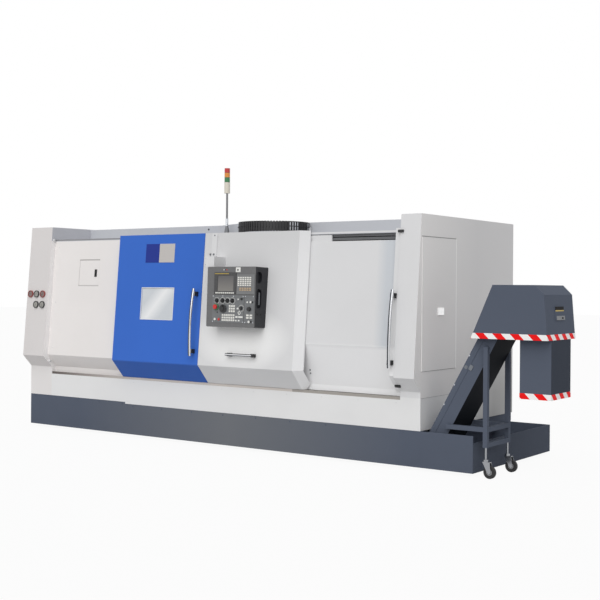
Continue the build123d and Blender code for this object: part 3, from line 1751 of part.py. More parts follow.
def build_nodes():
    """Every node of the machine and its solids."""
    front_leg, rear_leg = leg_places()
    nodes = {
        "levelling_pads": levelling_pads(),
        "bed_casting": bed_casting(),
        "coolant_tank": coolant_tank(),
        "left_base_cover": left_base_cover(),
        "lower_front_panel": lower_front_panel(),
        "door_guide_rails": door_guide_rails(),
        "left_end_cabinet": [end_cabinet(0, left_pillar_width, left_cover_top)],
        "right_end_cabinet": [end_cabinet(right_pillar_left, cabinet_length, end_seam)],
        "end_access_cover": end_access_cover(),
        "left_front_panel": left_front_panel(),
        "upper_housing": upper_housing(),
        "drag_chain": drag_chain(),
        "pressure_gauges": pressure_gauges(),
        "door_stops": door_stops(),
        "tower_stand": tower_stand(),
        "tower_lenses": tower_lenses(),
        "headstock": headstock(),
        "drive_motors": drive_motors(),
        "conveyor_trough": conveyor_trough(),
        "conveyor_belt": conveyor_belt(),
        "conveyor_hood": conveyor_hood(),
        "conveyor_chute": conveyor_chute(),
        "conveyor_control_box": conveyor_control_box(),
        "conveyor_legs": conveyor_legs(),
        "access_hatch": access_hatch(),
        "electrical_door": electrical_door(),
        "main_switch": main_switch(),
        "main_door": main_door(),
        "main_door_glass": main_door_glass(),
        "main_door_handle": main_door_handle(),
        "panel_door": panel_door(),
        "panel_bar_handle": panel_bar_handle(),
        "console_box": console_box(),
        "console_bracket": console_bracket(),
        "console_units": console_units(),
        "emergency_stop": emergency_stop(),
        "cycle_start_button": push_button(start_button_shares),
        "feed_hold_button": push_button(hold_button_shares),
        "handwheel": handwheel(),
        "tail_door": tail_door(),
        "tail_door_handle": tail_door_handle(),
        "spindle": spindle(),
        "chuck_body": chuck_body(),
        "z_ballscrew": z_ballscrew(),
        "carriage": carriage(),
        "cross_slide": cross_slide(),
        "turret_disc": turret_disc(),
        "tailstock": tailstock(),
        "quill": quill(),
        "live_centre": live_centre(),
        "caster_fork_front": caster_fork(front_leg),
        "caster_fork_rear": caster_fork(rear_leg),
        "caster_wheel_front": caster_wheel(front_leg),
        "caster_wheel_rear": caster_wheel(rear_leg),
    }
    knob_names = ("mode_knob", "feed_knob", "rapid_knob", "spindle_knob")
    for name, share in zip(knob_names, knob_column_shares):
        nodes[name] = rotary_knob(share)
    for number, angle in enumerate(jaw_angles(), start=1):
        nodes[f"chuck_jaw_{number}"] = chuck_jaw(angle)
    return nodes


def single_solids(pieces):
    """The solids of a node, one by one."""
    return [solid for piece in pieces for solid in piece.solids()]


def footprint_origin(nodes):
    """The point on the floor under the middle of the whole machine."""
    everything = Compound(children=[solid for pieces in nodes.values() for solid in single_solids(pieces)])
    middle = everything.bounding_box().center()
    return Vector(middle.X, middle.Y, 0)


nodes = build_nodes()
origin = footprint_origin(nodes)
os.makedirs("parts", exist_ok=True)
for name, pieces in nodes.items():
    solids = [Pos(-origin.X, -origin.Y, 0) * solid for solid in single_solids(pieces)]
    export_step(Compound(children=solids), f"parts/{name}.step")
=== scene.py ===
import json
import math

import bmesh
import bpy
from mathutils import Matrix, Vector

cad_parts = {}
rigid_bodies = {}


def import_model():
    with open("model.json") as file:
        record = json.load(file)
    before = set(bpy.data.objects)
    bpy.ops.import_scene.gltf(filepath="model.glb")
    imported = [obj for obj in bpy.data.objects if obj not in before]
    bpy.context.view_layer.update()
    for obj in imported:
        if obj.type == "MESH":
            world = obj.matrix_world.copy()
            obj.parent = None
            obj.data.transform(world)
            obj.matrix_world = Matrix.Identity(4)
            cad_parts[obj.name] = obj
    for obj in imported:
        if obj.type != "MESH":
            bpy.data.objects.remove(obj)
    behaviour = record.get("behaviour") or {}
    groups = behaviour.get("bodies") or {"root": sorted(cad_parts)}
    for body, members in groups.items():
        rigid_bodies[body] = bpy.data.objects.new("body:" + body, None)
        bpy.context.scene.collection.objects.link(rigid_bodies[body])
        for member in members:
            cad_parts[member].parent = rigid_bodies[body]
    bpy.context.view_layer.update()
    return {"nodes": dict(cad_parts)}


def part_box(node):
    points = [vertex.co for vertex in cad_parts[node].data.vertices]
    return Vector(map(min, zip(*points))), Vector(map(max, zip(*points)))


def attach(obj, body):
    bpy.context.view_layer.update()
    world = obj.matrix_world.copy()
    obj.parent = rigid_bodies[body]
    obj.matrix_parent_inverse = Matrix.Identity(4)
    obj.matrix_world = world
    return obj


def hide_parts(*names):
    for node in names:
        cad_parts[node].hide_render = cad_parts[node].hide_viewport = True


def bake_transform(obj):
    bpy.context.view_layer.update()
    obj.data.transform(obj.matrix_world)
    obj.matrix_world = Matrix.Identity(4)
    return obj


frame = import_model()
nodes = frame["nodes"]

# Places on the machine are given in millimetres from the front left corner of its base, as on a
# workshop drawing: X along the machine, Y towards the back, Z up from the floor.
base_corner = Vector((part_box("left_base_cover")[0][0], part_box("coolant_tank")[0][1], 0.0))
MM = 0.001

bulge_depth = 124.0
bulge_height = 835.0
cabinet_top = 2310.0
roof_height = 2152.0
lean = math.atan2(bulge_depth, cabinet_top - bulge_height)
pillar_width = 350.0
end_wall_x = 5180.0
base_end_x = 5700.0
back_wall_y = 1942.0
door_proud = 46.0
recess_setback = 60.0
pane_place = (1865.0, 1293.0)
plate_place = (1890.0, 1890.0)
upper_gauges, lower_gauges = 1541.0, 1420.0

# The console, its parts as shares of its width and height
console_left = 2928.0
console_bottom = 1246.0
console_width = 604.0
console_height = 591.0
console_depth = 169.0
console_top_depth = 198.0
display_edge = 0.617 * console_width
upper_units = 0.535 * console_height
screen_low, screen_high = 0.594, 0.852
lamp_row = 0.948

# The conveyor's climb, and its hood that narrows upwards
incline = math.radians(61)
incline_foot = (5259.0, 70.0, 60.0)
hood_low = 1209.0
hood_left, hood_right = 5680.0, 6382.0
hood_left_slope, hood_right_slope = 203 / 464, 32 / 383
hood_front, hood_back = -20.0, 598.0
chute_left_x, chute_end_x = 6097.0, 6380.0

# Right and up directions of faces that look to the front, to the tailstock end and upwards
front_on = ((1, 0, 0), (0, 0, 1))
end_on = ((0, 1, 0), (0, 0, 1))
top_on = ((1, 0, 0), (0, 1, 0))


def at(x, y, z):
    """A drawing place in millimetres as a point of the scene in metres."""
    return base_corner + Vector((x, y, z)) * MM


def flat_face(x, y, z, right, up):
    """A frame on a face, given its right and up directions: Z points outwards, in millimetres."""
    right, up = Vector(right), Vector(up)
    turn = Matrix((right, up, right.cross(up))).transposed().to_4x4()
    return Matrix.Translation(at(x, y, z)) @ turn @ Matrix.Scale(MM, 4)


def lean_y(height):
    """Front of the end pillars at a height; the doors lean back with it."""
    return -bulge_depth * (cabinet_top - height) / (cabinet_top - bulge_height)


def leaning_face(x, height, setback):
    """A frame on a leaning front: X along the machine, Y up the face, Z outwards."""
    return flat_face(x, lean_y(height) + setback, height, (1, 0, 0), (0, math.sin(lean), math.cos(lean)))


def on_lean(x, height, setback, out=0.0):
    """A point on a leaning front, standing off it by a distance."""
    return leaning_face(x, height, setback) @ Vector((0, 0, out))


def console_face():
    """The frame on the console's face: X across, Y up the face, Z outwards."""
    low = lean_y(console_bottom) - door_proud - console_depth
    high = lean_y(console_bottom + console_height) - door_proud - console_top_depth
    tilt = math.atan2(high - low, console_height)
    return flat_face(console_left, low, console_bottom, (1, 0, 0), (0, math.sin(tilt), math.cos(tilt)))


console = console_face()
trough_side = flat_face(*incline_foot, (math.cos(incline), 0, math.sin(incline)),
                        (-math.sin(incline), 0, math.cos(incline)))


def linear(red, green, blue):
    """A colour as seen on the photograph's scale of 0 to 255, as scene-linear values."""
    def value(level):
        share = level / 255
        return share / 12.92 if share <= 0.04045 else ((share + 0.055) / 1.055) ** 2.4
    return (value(red), value(green), value(blue), 1.0)


def shade(colour, factor):
    """A colour made darker or lighter."""
    return tuple(min(1.0, part * factor) for part in colour[:3]) + (1.0,)


class Wire:
    """A socket of a material that takes part in arithmetic; every step adds a Math node."""

    def __init__(self, finish, socket):
        self.finish = finish
        self.socket = socket

    def step(self, operation, *values):
        return self.finish.node("ShaderNodeMath", {"operation": operation}, dict(enumerate(values)))

    def __add__(self, other):
        return self.step("ADD", self, other)

    def __radd__(self, other):
        return self.step("ADD", other, self)

    def __sub__(self, other):
        return self.step("SUBTRACT", self, other)

    def __rsub__(self, other):
        return self.step("SUBTRACT", other, self)

    def __mul__(self, other):
        return self.step("MULTIPLY", self, other)

    def __rmul__(self, other):
        return self.step("MULTIPLY", other, self)

    def __truediv__(self, other):
        return self.step("DIVIDE", self, other)

    def __gt__(self, other):
        return self.step("GREATER_THAN", self, other)

    def __lt__(self, other):
        return self.step("LESS_THAN", self, other)

    def fraction(self):
        return self.step("FRACT", self)

    def between(self, low, high):
        return (self > low) * (self < high)

    def limited(self, high=1.0):
        """Kept between nought and a highest value."""
        return self.finish.node("ShaderNodeClamp", values={0: self, 1: 0.0, 2: high})

    def peak(self):
        """One at nought, falling evenly to nought at one on either side."""
        return (1 - self.step("ABSOLUTE", self)).limited()


class Finish:
    """A procedural finish: a material, its node tree and the shader that ends it."""

    def __init__(self, name, roughness, metallic=0.0, **constants):
        self.material = bpy.data.materials.new(name)
        self.material.use_nodes = True
        self.tree = self.material.node_tree
        self.shader = self.tree.nodes["Principled BSDF"]
        for socket, value in dict(constants, Roughness=roughness, Metallic=metallic).items():
            self.set(socket.replace("_", " "), value)

    def node(self, kind, settings=None, values=None, out=0):
        """Any node: its settings first, then the values or links of its sockets."""
        made = self.tree.nodes.new(kind)
        for key, value in (settings or {}).items():
            setattr(made, key, value)
        for key, value in (values or {}).items():
            socket = made.inputs[key] if isinstance(key, int) else next(
                s for s in made.inputs if key in (s.identifier, s.name))
            self.feed(socket, value)
        return Wire(self, made.outputs[out])

    def feed(self, socket, value):
        if isinstance(value, Wire):
            self.tree.links.new(value.socket, socket)
        else:
            socket.default_value = value

    def place(self):
        """Object coordinates, in metres."""
        return self.node("ShaderNodeTexCoord", out="Object")

    def axes(self, place):
        """The three parts of a place."""
        split = self.node("ShaderNodeSeparateXYZ", values={0: place})
        return [Wire(self, output) for output in split.socket.node.outputs]

    def mapped(self, **values):
        """Object coordinates scaled, turned and moved."""
        return self.node("ShaderNodeMapping", {"vector_type": "POINT"}, dict(values, Vector=self.place()))

    def frame(self, matrix):
        """Object coordinates turned into a face's own frame, in millimetres."""
        spot, turn, scale = matrix.inverted().decompose()
        return self.axes(self.mapped(Location=spot, Rotation=turn.to_euler(), Scale=scale))

    def drawing(self):
        """Drawing places, in millimetres."""
        return self.frame(Matrix.Translation(base_corner) @ Matrix.Scale(MM, 4))

    def noise(self, scale, detail=2.0, place=None):
        values = {"Vector": place or self.place(), "Scale": scale, "Detail": detail}
        return self.node("ShaderNodeTexNoise", {"noise_dimensions": "3D"}, values)

    def stretched(self, x, y, z):
        """Object coordinates drawn out along the axes, for grain and brushing."""
        return self.mapped(Scale=(x, y, z))

    def mix(self, factor, first, second):
        """One colour into another."""
        return self.node("ShaderNodeMix", {"data_type": "RGBA"},
                         {"Factor_Float": factor, "A_Color": first, "B_Color": second}, out=2)

    def tones(self, factor, first, second):
        """One colour on the photograph's scale into another."""
        return self.mix(factor, linear(*first), linear(*second))

    def clouded(self, factor, colour, dark, light):
        """A colour between a darker and a lighter tone of it."""
        return self.mix(factor, shade(colour, dark), shade(colour, light))

    def seen(self):
        """One for the rays that reach the camera straight, by a mirror or through a pane."""
        rays = [self.node("ShaderNodeLightPath", out=f"Is {ray} Ray")
                for ray in ("Camera", "Glossy", "Transmission")]
        return rays[0].step("MAXIMUM", rays[0].step("MAXIMUM", rays[0], rays[1]), rays[2])

    def bump(self, height, strength, distance):
        self.set("Normal", self.node("ShaderNodeBump", values={
            "Height": height, "Strength": strength, "Distance": distance}))

    def set(self, socket, value):
        self.feed(self.shader.inputs[socket], value)

    def paint(self, colour):
        self.set("Base Color", colour)

    def repaint(self, factor, colour):
        """Another colour over the paint, as far as the factor says."""
        painted = Wire(self, self.shader.inputs["Base Color"].links[0].from_socket)
        self.paint(self.mix(factor, painted, colour))
        return self

    def rough(self, roughness):
        self.set("Roughness", roughness)


class Backdrop(Finish):
    """The light from all round the studio, made with the same nodes as a finish."""

    def __init__(self, name):
        world = bpy.data.worlds.new(name)
        world.use_nodes = True
        bpy.context.scene.world = world
        self.tree = world.node_tree
        self.shader = self.tree.nodes["Background"]


def powder_coat(name, colour, roughness=0.45, grain=420, depth=0.0006, shine=0.3):
    """Baked paint on sheet metal: fine orange peel, faint clouding, a little floor dust."""
    finish = Finish(name, roughness, Specular_IOR_Level=shine)
    tone = finish.clouded(finish.noise(1.7, 3), colour, 0.955, 1.035)
    height = finish.drawing()[2]
    dust = ((500 - height) / 2000).limited(0.22) * finish.noise(9, 4)
    finish.paint(finish.mix(dust, tone, shade(colour, 0.72)))
    finish.rough(roughness - 0.05 + finish.noise(6, 4) * 0.1)
    finish.bump(finish.noise(grain), 0.25, depth)
    return finish


def slate_coat(name):
    """The dull coat of the base and the conveyor."""
    return powder_coat(name, slate_colour, 0.55, grain=260, depth=0.001, shine=0.02)


def painted_casting(name, colour):
    """Filled and painted cast iron, with a coarse skin."""
    finish = Finish(name, 0.55)
    finish.paint(finish.clouded(finish.noise(5, 5), colour, 0.86, 1.1))
    finish.rough(0.45 + finish.noise(30, 3) * 0.2)
    finish.bump(finish.noise(120, 4), 0.4, 0.0015)
    return finish


def ground_steel(name, colour, roughness, along=(1.0, 60.0, 60.0)):
    """Ground or brushed steel with fine marks along one axis."""
    finish = Finish(name, roughness, metallic=1.0)
    marks = finish.noise(14, 6, finish.stretched(*along))
    finish.paint(finish.clouded(marks, colour, 0.82, 1.12))
    finish.rough(roughness - 0.08 + marks * 0.16)
    finish.bump(marks, 0.12, 0.0004)
    return finish


def moulded(name, colour, roughness):
    """Moulded plastic or rubber with a fine spark grain."""
    finish = Finish(name, roughness)
    finish.paint(finish.clouded(finish.noise(24, 3), colour, 0.88, 1.12))
    finish.rough(roughness - 0.06 + finish.noise(60) * 0.12)
    finish.bump(finish.noise(700), 0.3, 0.0004)
    return finish


white_colour = linear(224, 224, 225)
warm_colour = linear(239, 235, 233)
blue_colour = linear(62, 111, 204)
slate_colour = linear(91, 98, 112)
housing_colour = linear(198, 200, 205)
black_colour = linear(14, 14, 15)
all_ways = (8.0, 8.0, 8.0)

white_paint = powder_coat("white enclosure paint", white_colour)
warm_paint = powder_coat("warm white paint", warm_colour)
band_paint = powder_coat("lower band paint", linear(233, 233, 233))
housing_paint = powder_coat("upper housing paint", housing_colour)
slate_paint = slate_coat("slate base paint")
# Painted highlight: near-white paint for a bright line along the end cover's back edge.
highlight_edge_paint = powder_coat("bright edge paint", linear(253, 253, 252), 0.4)
charcoal_paint = powder_coat("charcoal paint", linear(52, 54, 60), 0.5, grain=600)
display_black = powder_coat("display black", black_colour, 0.5, grain=600, shine=0.05)
seam_grey = powder_coat("seam grey paint", linear(150, 150, 150), 0.6)
bed_paint = painted_casting("bed casting paint", linear(150, 154, 158))
dull_steel = ground_steel("dull steel", linear(120, 124, 130), 0.4, all_ways)
tool_steel = ground_steel("tool steel", linear(168, 170, 174), 0.28)
zinc_plate = ground_steel("zinc plated steel", linear(214, 217, 222), 0.26, all_ways)
fork_zinc = ground_steel("caster zinc", linear(156, 158, 162), 0.22, along=(20.0, 20.0, 20.0))
black_rubber = moulded("black rubber", linear(26, 26, 27), 0.7)
black_moulding = moulded("black moulding", linear(36, 36, 38), 0.42)
grey_moulding = moulded("grey moulding", linear(120, 122, 126), 0.45)
white_key = moulded("white key caps", linear(234, 234, 230), 0.38)
red_cap = moulded("red button cap", linear(206, 46, 44), 0.3)
green_cap = moulded("green button cap", linear(44, 120, 70), 0.35)
yellow_ring = moulded("yellow ring", linear(196, 168, 70), 0.4)


def window_glass():
    """The main door's pane: pale laminated glass with faint streaks and a painted reflection, a pale slanting
    band across it.
    """
    finish = Finish("window pane", 0.07, IOR=1.5, Alpha=0.93)
    u, v, _ = finish.frame(leaning_face(*pane_place, -door_proud))
    streak = finish.noise(2.2, 4, finish.stretched(1, 1, 3))
    # Painted reflection: a pale slanting band across the pane.
    sheen = ((u - v * 0.9 - 60) / 170).peak()
    pane = finish.tones(streak, (206, 211, 216), (222, 226, 230))
    finish.paint(finish.mix(sheen, pane, linear(248, 249, 250)))
    finish.rough(0.05 + streak * 0.08)
    return finish


def hazard_stripes(name, shift):
    """Slanting red and white bands, printed on edge tape."""
    finish = Finish(name, 0.55, Specular_IOR_Level=0.2)
    x, y, z = finish.drawing()
    band = ((x + y + z - shift) / 162).fraction() > 0.5
    red = finish.tones(finish.noise(70, 4) * 0.1, (246, 14, 16), (200, 30, 32))
    finish.paint(finish.mix(band, red, linear(250, 249, 248)))
    finish.bump(finish.noise(500), 0.1, 0.0003)
    return finish


def lamp_lenses():
    """Ribbed lamp lenses: green at the bottom, then amber, then red."""
    low, high = (corner[2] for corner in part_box("tower_lenses"))
    step = (high - low) / 3
    finish = Finish("lamp lenses", 0.22, Coat_Weight=0.5, Coat_Roughness=0.08)
    height = finish.axes(finish.place())[2]
    colour = finish.tones(height > low + step, (30, 120, 66), (226, 142, 40))
    colour = finish.mix(height > low + 2 * step, colour, linear(196, 30, 30))
    seam = ((height - low) / step).fraction() < 0.07
    finish.paint(finish.mix(seam, colour, linear(60, 58, 56)))
    finish.bump(((height - low) / 0.004).fraction(), 0.35, 0.0006)
    return finish


def bracketed_bar(name, face, brackets, foot_height, painted_highlight_at, along_x=False):
    """A chromed bar whose feet are black mouldings: brackets are spans along the bar, in millimetres. The chrome
    carries a painted reflection, a bright line along the bar with dark tones beside it.
    """
    finish = Finish(name, 0.14, metallic=1.0)
    u, v, w = finish.frame(face)
    along, across = (u, v) if along_x else (v, u)
    foot = w < foot_height
    black = sum(along.between(low, high) * foot for low, high in brackets)
    # Painted reflection: the chrome is bright along one line of the bar and dark beside it, as a polished tube
    # reflects.
    streak = ((across - painted_highlight_at) / 8).peak()
    marks = finish.noise(20, 4, finish.stretched(30, 30, 2))
    chrome = finish.tones(streak, (78, 80, 86), (242, 243, 245))
    finish.paint(finish.mix(black, chrome, linear(30, 30, 32)))
    finish.set("Metallic", 1 - black)
    finish.rough(0.1 + marks * 0.08 + black * 0.35)
    return finish


def latched_hatch():
    """White hatch paint with painted shade along its rim, darkest at the top edge, and a black latch by its free
    edge.
    """
    finish = powder_coat("hatch paint", warm_colour)
    low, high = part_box("access_hatch")
    along, _, height = finish.axes(finish.place())
    # Painted shade along the hatch's top, bottom and left edges.
    rim = (height > high[2] - 0.011) + (height < low[2] + 0.010) * 0.7 + (along < low[0] + 0.010) * 0.5
    finish.repaint(rim.limited(), linear(178, 174, 172))
    u, v, w = finish.frame(leaning_face(1095, 1786.5, recess_setback))
    return finish.repaint(u.between(-71, -35) * v.between(-52, 42) * (w > 0.6), black_colour)


def console_case():
    """The console's housing: grey front, near-black sides."""
    finish = Finish("console case paint", 0.5)
    u, _, w = finish.frame(console)
    front = (w > -0.6) * u.between(0.2, console_width - 0.2)
    grain = finish.noise(36, 4)
    dark = finish.tones(grain, (24, 25, 30), (31, 32, 38))
    grey = finish.tones(grain, (98, 98, 99), (112, 112, 113))
    finish.paint(finish.mix(front, dark, grey))
    finish.rough(0.42 + finish.noise(80) * 0.15)
    finish.bump(finish.noise(650), 0.35, 0.0005)
    return finish


def console_unit_finish():
    """Display bezel, keyboard plate and switch plates, with pale and sand coloured keys standing on them."""
    finish = Finish("console unit plastics", 0.45)
    u, v, w = finish.frame(console)
    grain = finish.noise(40, 3)
    desk = finish.tones(grain, (104, 106, 108), (122, 124, 126))
    plate = finish.tones(grain, (112, 113, 114), (128, 129, 130))
    bezel = finish.tones(grain, (60, 60, 61), (74, 74, 75))
    upper = v > upper_units
    keyboard = (u > display_edge) * upper
    colour = finish.mix((u < display_edge) * upper, finish.mix(keyboard, desk, plate), bezel)
    pale = finish.tones(finish.noise(90), (222, 221, 214), (240, 239, 234))
    sand = finish.tones(finish.noise(90), (176, 150, 118), (198, 176, 148))
    key = (w > 6.4) * upper + (w > 3.4) * (1 - upper)
    key = key * (1 - (u < 0.312 * console_width) * (v < 0.42 * console_height))
    sandy = keyboard * (v < 0.667 * console_height)
    finish.paint(finish.mix(key, colour, finish.mix(sandy, pale, sand)))
    finish.rough(0.36 + finish.noise(70) * 0.14)
    finish.bump(finish.noise(650), 0.2, 0.0004)
    return finish


def screen_finish():
    """The dark display behind its cover, slightly brighter towards the bottom."""
    finish = Finish("display screen", 0.16, Coat_Weight=0.4, Coat_Roughness=0.05)
    v = finish.frame(console)[1]
    rise = (v - screen_low * console_height) / ((screen_high - screen_low) * console_height)
    finish.paint(finish.tones(rise, (128, 125, 120), (84, 82, 84)))
    return finish


def caster_tyre():
    """Black tread on a grey wheel centre; the two wheels stand in line."""
    finish = Finish("caster tyre", 0.6)
    middle = [(low + high) / 2 for low, high in zip(*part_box("caster_wheel_front"))]
    x, _, z = finish.axes(finish.place())
    x, z = x - middle[0], z - middle[2]
    hub = (x * x + z * z) < 0.026 ** 2
    finish.paint(finish.tones(hub, (20, 20, 21), (140, 142, 144)))
    finish.rough(0.5 + finish.noise(90, 3) * 0.2)
    finish.bump(finish.noise(300, 3), 0.3, 0.0006)
    return finish


def plate_finish():
    """The bare two-tone plate on the main door: deep blue enamel beside brushed silver."""
    finish = Finish("bare door plate", 0.3, Specular_IOR_Level=0.15)
    silver = finish.frame(leaning_face(*plate_place, -door_proud))[0] > 194
    grain = finish.noise(30, 5, finish.stretched(2, 60, 60))
    enamel = finish.tones(grain, (34, 52, 138), (42, 60, 150))
    sheen = finish.tones(grain, (184, 180, 177), (204, 200, 197))
    finish.paint(finish.mix(silver, enamel, sheen))
    finish.set("Metallic", silver * 0.35)
    finish.rough(0.3 + silver * 0.1)
    return finish


def gauge_face(name, colour):
    """A gauge's enamelled dial."""
    finish = Finish(name, 0.3, Coat_Weight=0.6, Coat_Roughness=0.04)
    finish.paint(finish.clouded(finish.noise(60), colour, 0.92, 1.05))
    return finish


def gauge_rims():
    """Black gauge cases; the outer two of the upper row have red rims."""
    finish = Finish("gauge cases", 0.35)
    red = 0
    for x in (64, 268):
        u, v, _ = finish.frame(leaning_face(x, upper_gauges, 0))
        red = red + ((u * u + v * v) < 45 ** 2)
    case = finish.tones(finish.noise(40, 3), (40, 40, 42), (54, 54, 56))
    finish.paint(finish.mix(red, case, linear(150, 62, 58)))
    return finish


def panel_paint():
    """The middle door's paint with painted light: a painted highlight under the console and on the slanted side,
    painted shade towards the top.
    """
    finish = powder_coat("middle door paint", white_colour)
    u, v, _ = finish.frame(leaning_face(3230, 1130, -door_proud))
    # Painted shade towards the top of the door.
    finish.repaint(((v - 560) / 500).limited() * 0.5, shade(white_colour, 0.8))
    # Painted highlight on the slanted side.
    finish.repaint((u > 651) * 0.5, linear(251, 251, 252))
    # Painted highlight: a pale patch under the console.
    near = 1 - (u * u / 620 ** 2 + v * v / 330 ** 2)
    return finish.repaint(near.limited() * 0.95, (1.0, 1.0, 0.99, 1.0))


def guide_rails():
    """Guide rails: bottom rails brown at the headstock end and worn at the other, dark hanger rails, and a
    white top bar that is grey over the fixed panel, painted shade where a shadow line falls."""
    finish = Finish("guide rail finish", 0.45)
    x, _, z = finish.drawing()
    marks = finish.noise(14, 6, finish.stretched(1, 60, 60))
    bare = finish.tones(marks, (150, 145, 139), (170, 165, 159))
    clean = finish.tones(marks, (196, 188, 182), (212, 205, 200))
    bottom = finish.mix(x > 3760, clean, bare)
    bottom = finish.mix(((1700 - x) / 1300).limited(), bottom, linear(88, 80, 76))
    hanger = finish.tones(marks, (88, 89, 92), (108, 109, 112))
    # Painted shadow: the top bar is grey over the fixed panel, where a shadow line falls at the panel's top.
    top_bar = finish.mix(x < 1500, white_colour, linear(142, 142, 145))
    finish.paint(finish.mix(z > 2150, finish.mix(z > 2000, bottom, hanger), top_bar))
    finish.rough(0.4 + marks * 0.12)
    return finish


def stop_finish():
    """Buffers painted with the pillar at the headstock end, black rubber catches at the other."""
    finish = Finish("stop finish", 0.6)
    along = finish.axes(finish.place())[0]
    rubber = finish.tones(finish.noise(24, 3), (24, 24, 25), (32, 32, 33))
    finish.paint(finish.mix(along < 0, rubber, white_colour))
    finish.bump(finish.noise(500), 0.3, 0.0004)
    return finish


def tower_finish():
    """Signal tower: cream housing on a bright tube."""
    finish = Finish("tower finish", 0.35)
    tube = finish.drawing()[2] < 2607
    marks = finish.noise(30, 4, finish.stretched(40, 40, 2))
    cream = finish.tones(marks, (218, 212, 198), (230, 224, 210))
    finish.paint(finish.mix(tube, cream, finish.tones(marks, (84, 84, 86), (156, 156, 158))))
    finish.set("Metallic", tube)
    finish.rough(0.36 - tube * 0.14 + marks * 0.06)
    return finish


def trough_finish():
    """Slate trough with painted shade on its underside, which is near black."""
    finish = slate_coat("trough paint")
    u, v, _ = finish.frame(trough_side)
    # Painted shade on the trough's underside.
    return finish.repaint((v < 0.6) * (u > 20), linear(30, 33, 38))


def housing_finish():
    """The upper housing: grey roof and riser, white back wall."""
    finish = powder_coat("housing and back wall paint", housing_colour)
    return finish.repaint(finish.drawing()[1] > 1900, white_colour)


def main_door_paint():
    """The main door's blue, with painted shade on the downward-facing slope under its bulge."""
    finish = powder_coat("main door paint", blue_colour, 0.5, shine=0.12)
    # Painted shade on the slope under the bulge.
    return finish.repaint(finish.drawing()[2] < bulge_height, shade(blue_colour, 0.8))


def tail_door_paint():
    """The tailstock door's paint: painted shade beside its edge strip, and a painted highlight on the slope
    under its bend.
    """
    finish = powder_coat("tailstock door paint", white_colour)
    x, _, z = finish.drawing()
    # Painted shade beside the edge strip; painted highlight on the slope under the bend.
    finish.repaint(((x - 4700) / 110).limited() * (x < 4895) * 0.7, linear(198, 204, 211))
    return finish.repaint(((1120 - z) / 50).limited(), linear(241, 241, 242))


def slate_end(name, end_x, tone, sheen=0.0):
    """Slate paint with painted shade on the end face, and a painted sheen about the middle of the base."""
    finish = slate_coat(name)
    x = finish.drawing()[0]
    # Painted sheen about the middle of the base.
    finish.repaint(((x - 2950) / 2100).peak() * sheen, linear(115, 118, 123))
    # Painted shade on the end face.
    return finish.repaint(x > end_x - 0.6, shade(slate_colour, tone))


def pillar_finish():
    """The headstock pillar's paint: a paler foot, a painted highlight on the flank beside the fixed panel,
    and painted shade on that flank above the roof."""
    finish = powder_coat("headstock pillar paint", linear(222, 218, 217))
    x, y, z = finish.drawing()
    flank = x > pillar_width - 0.5
    finish.repaint((z < 705) * (y < 60), linear(231, 228, 227))
    # Painted highlight on the flank beside the fixed panel.
    finish.repaint(flank * 0.8, linear(250, 248, 247))
    # Painted shade on the flank above the roof.
    return finish.repaint(flank * (z > roof_height), linear(199, 200, 206))


def conveyor_shade(finish):
    """Shade on the end walls behind the conveyor, fading upwards and to the front."""
    x, y, z = finish.drawing()
    rear = ((y - 900) / 600).limited()
    lower = ((1500 - z) / 900).limited() * (x > 5100)
    return finish.repaint(rear * lower, linear(178, 178, 178))


def end_wall_paint(name):
    """White paint of the tailstock end; its end wall carries painted light, paler towards the front and darker
    towards the back.
    """
    finish = powder_coat(name, white_colour)
    x, y, _ = finish.drawing()
    # Painted light on the end wall: paler towards the front, darker towards the back.
    tone = finish.tones((y / 1100).limited(), (242, 240, 239), (216, 215, 216))
    finish.repaint((x > end_wall_x - 0.6) * 0.9, tone)
    return conveyor_shade(finish)


def latched_cover():
    """The end cover's paint, with a bright latch plate."""
    finish = end_wall_paint("end cover paint")
    plate = finish.drawing()[0] > end_wall_x + 4.6
    finish.repaint(plate, linear(252, 252, 252))
    finish.set("Metallic", plate * 0.9)
    return finish


pale_dial = gauge_face("pale gauge dial", linear(150, 148, 142))
red_dial = gauge_face("dark gauge dial", linear(120, 96, 92))
tyre = caster_tyre()
main_bar = bracketed_bar("main door bar", leaning_face(2640, 933, -door_proud),
                         [(27, 73), (610, 656)], 60, 11)
tail_bar = bracketed_bar("tailstock door bar", leaning_face(4940, 917, 15),
                         [(27, 73), (632, 678)], 54, 11)
pull_bar = bracketed_bar("pull bar", leaning_face(3095, 968, -door_proud),
                         [(330, 363)], 90, 0, along_x=True)

node_finish = {
    "levelling_pads": zinc_plate,
    "coolant_tank": slate_end("tank paint", base_end_x, 0.78, 1.0),
    "left_base_cover": slate_end("base cover paint", base_end_x, 0.78, 1.0),
    "lower_front_panel": conveyor_shade(band_paint),
    "door_guide_rails": guide_rails(),
    "left_end_cabinet": pillar_finish(),
    "right_end_cabinet": end_wall_paint("end cabinet paint"),
    "end_access_cover": latched_cover(),
    "left_front_panel": warm_paint,
    "upper_housing": housing_finish(),
    "pressure_gauges": gauge_rims(),
    "door_stops": stop_finish(),
    "tower_stand": tower_finish(),
    "tower_lenses": lamp_lenses(),
    "drive_motors": charcoal_paint,
    "conveyor_trough": trough_finish(),
    "conveyor_chute": slate_end("chute paint", chute_end_x, 0.5),
    "access_hatch": latched_hatch(),
    "main_door": main_door_paint(),
    "main_door_glass": window_glass(),
    "main_door_handle": main_bar,
    "panel_door": panel_paint(),
    "panel_bar_handle": pull_bar,
    "console_box": console_case(),
    "console_units": console_unit_finish(),
    "cycle_start_button": white_key,
    "tail_door": tail_door_paint(),
    "tail_door_handle": tail_bar,
}
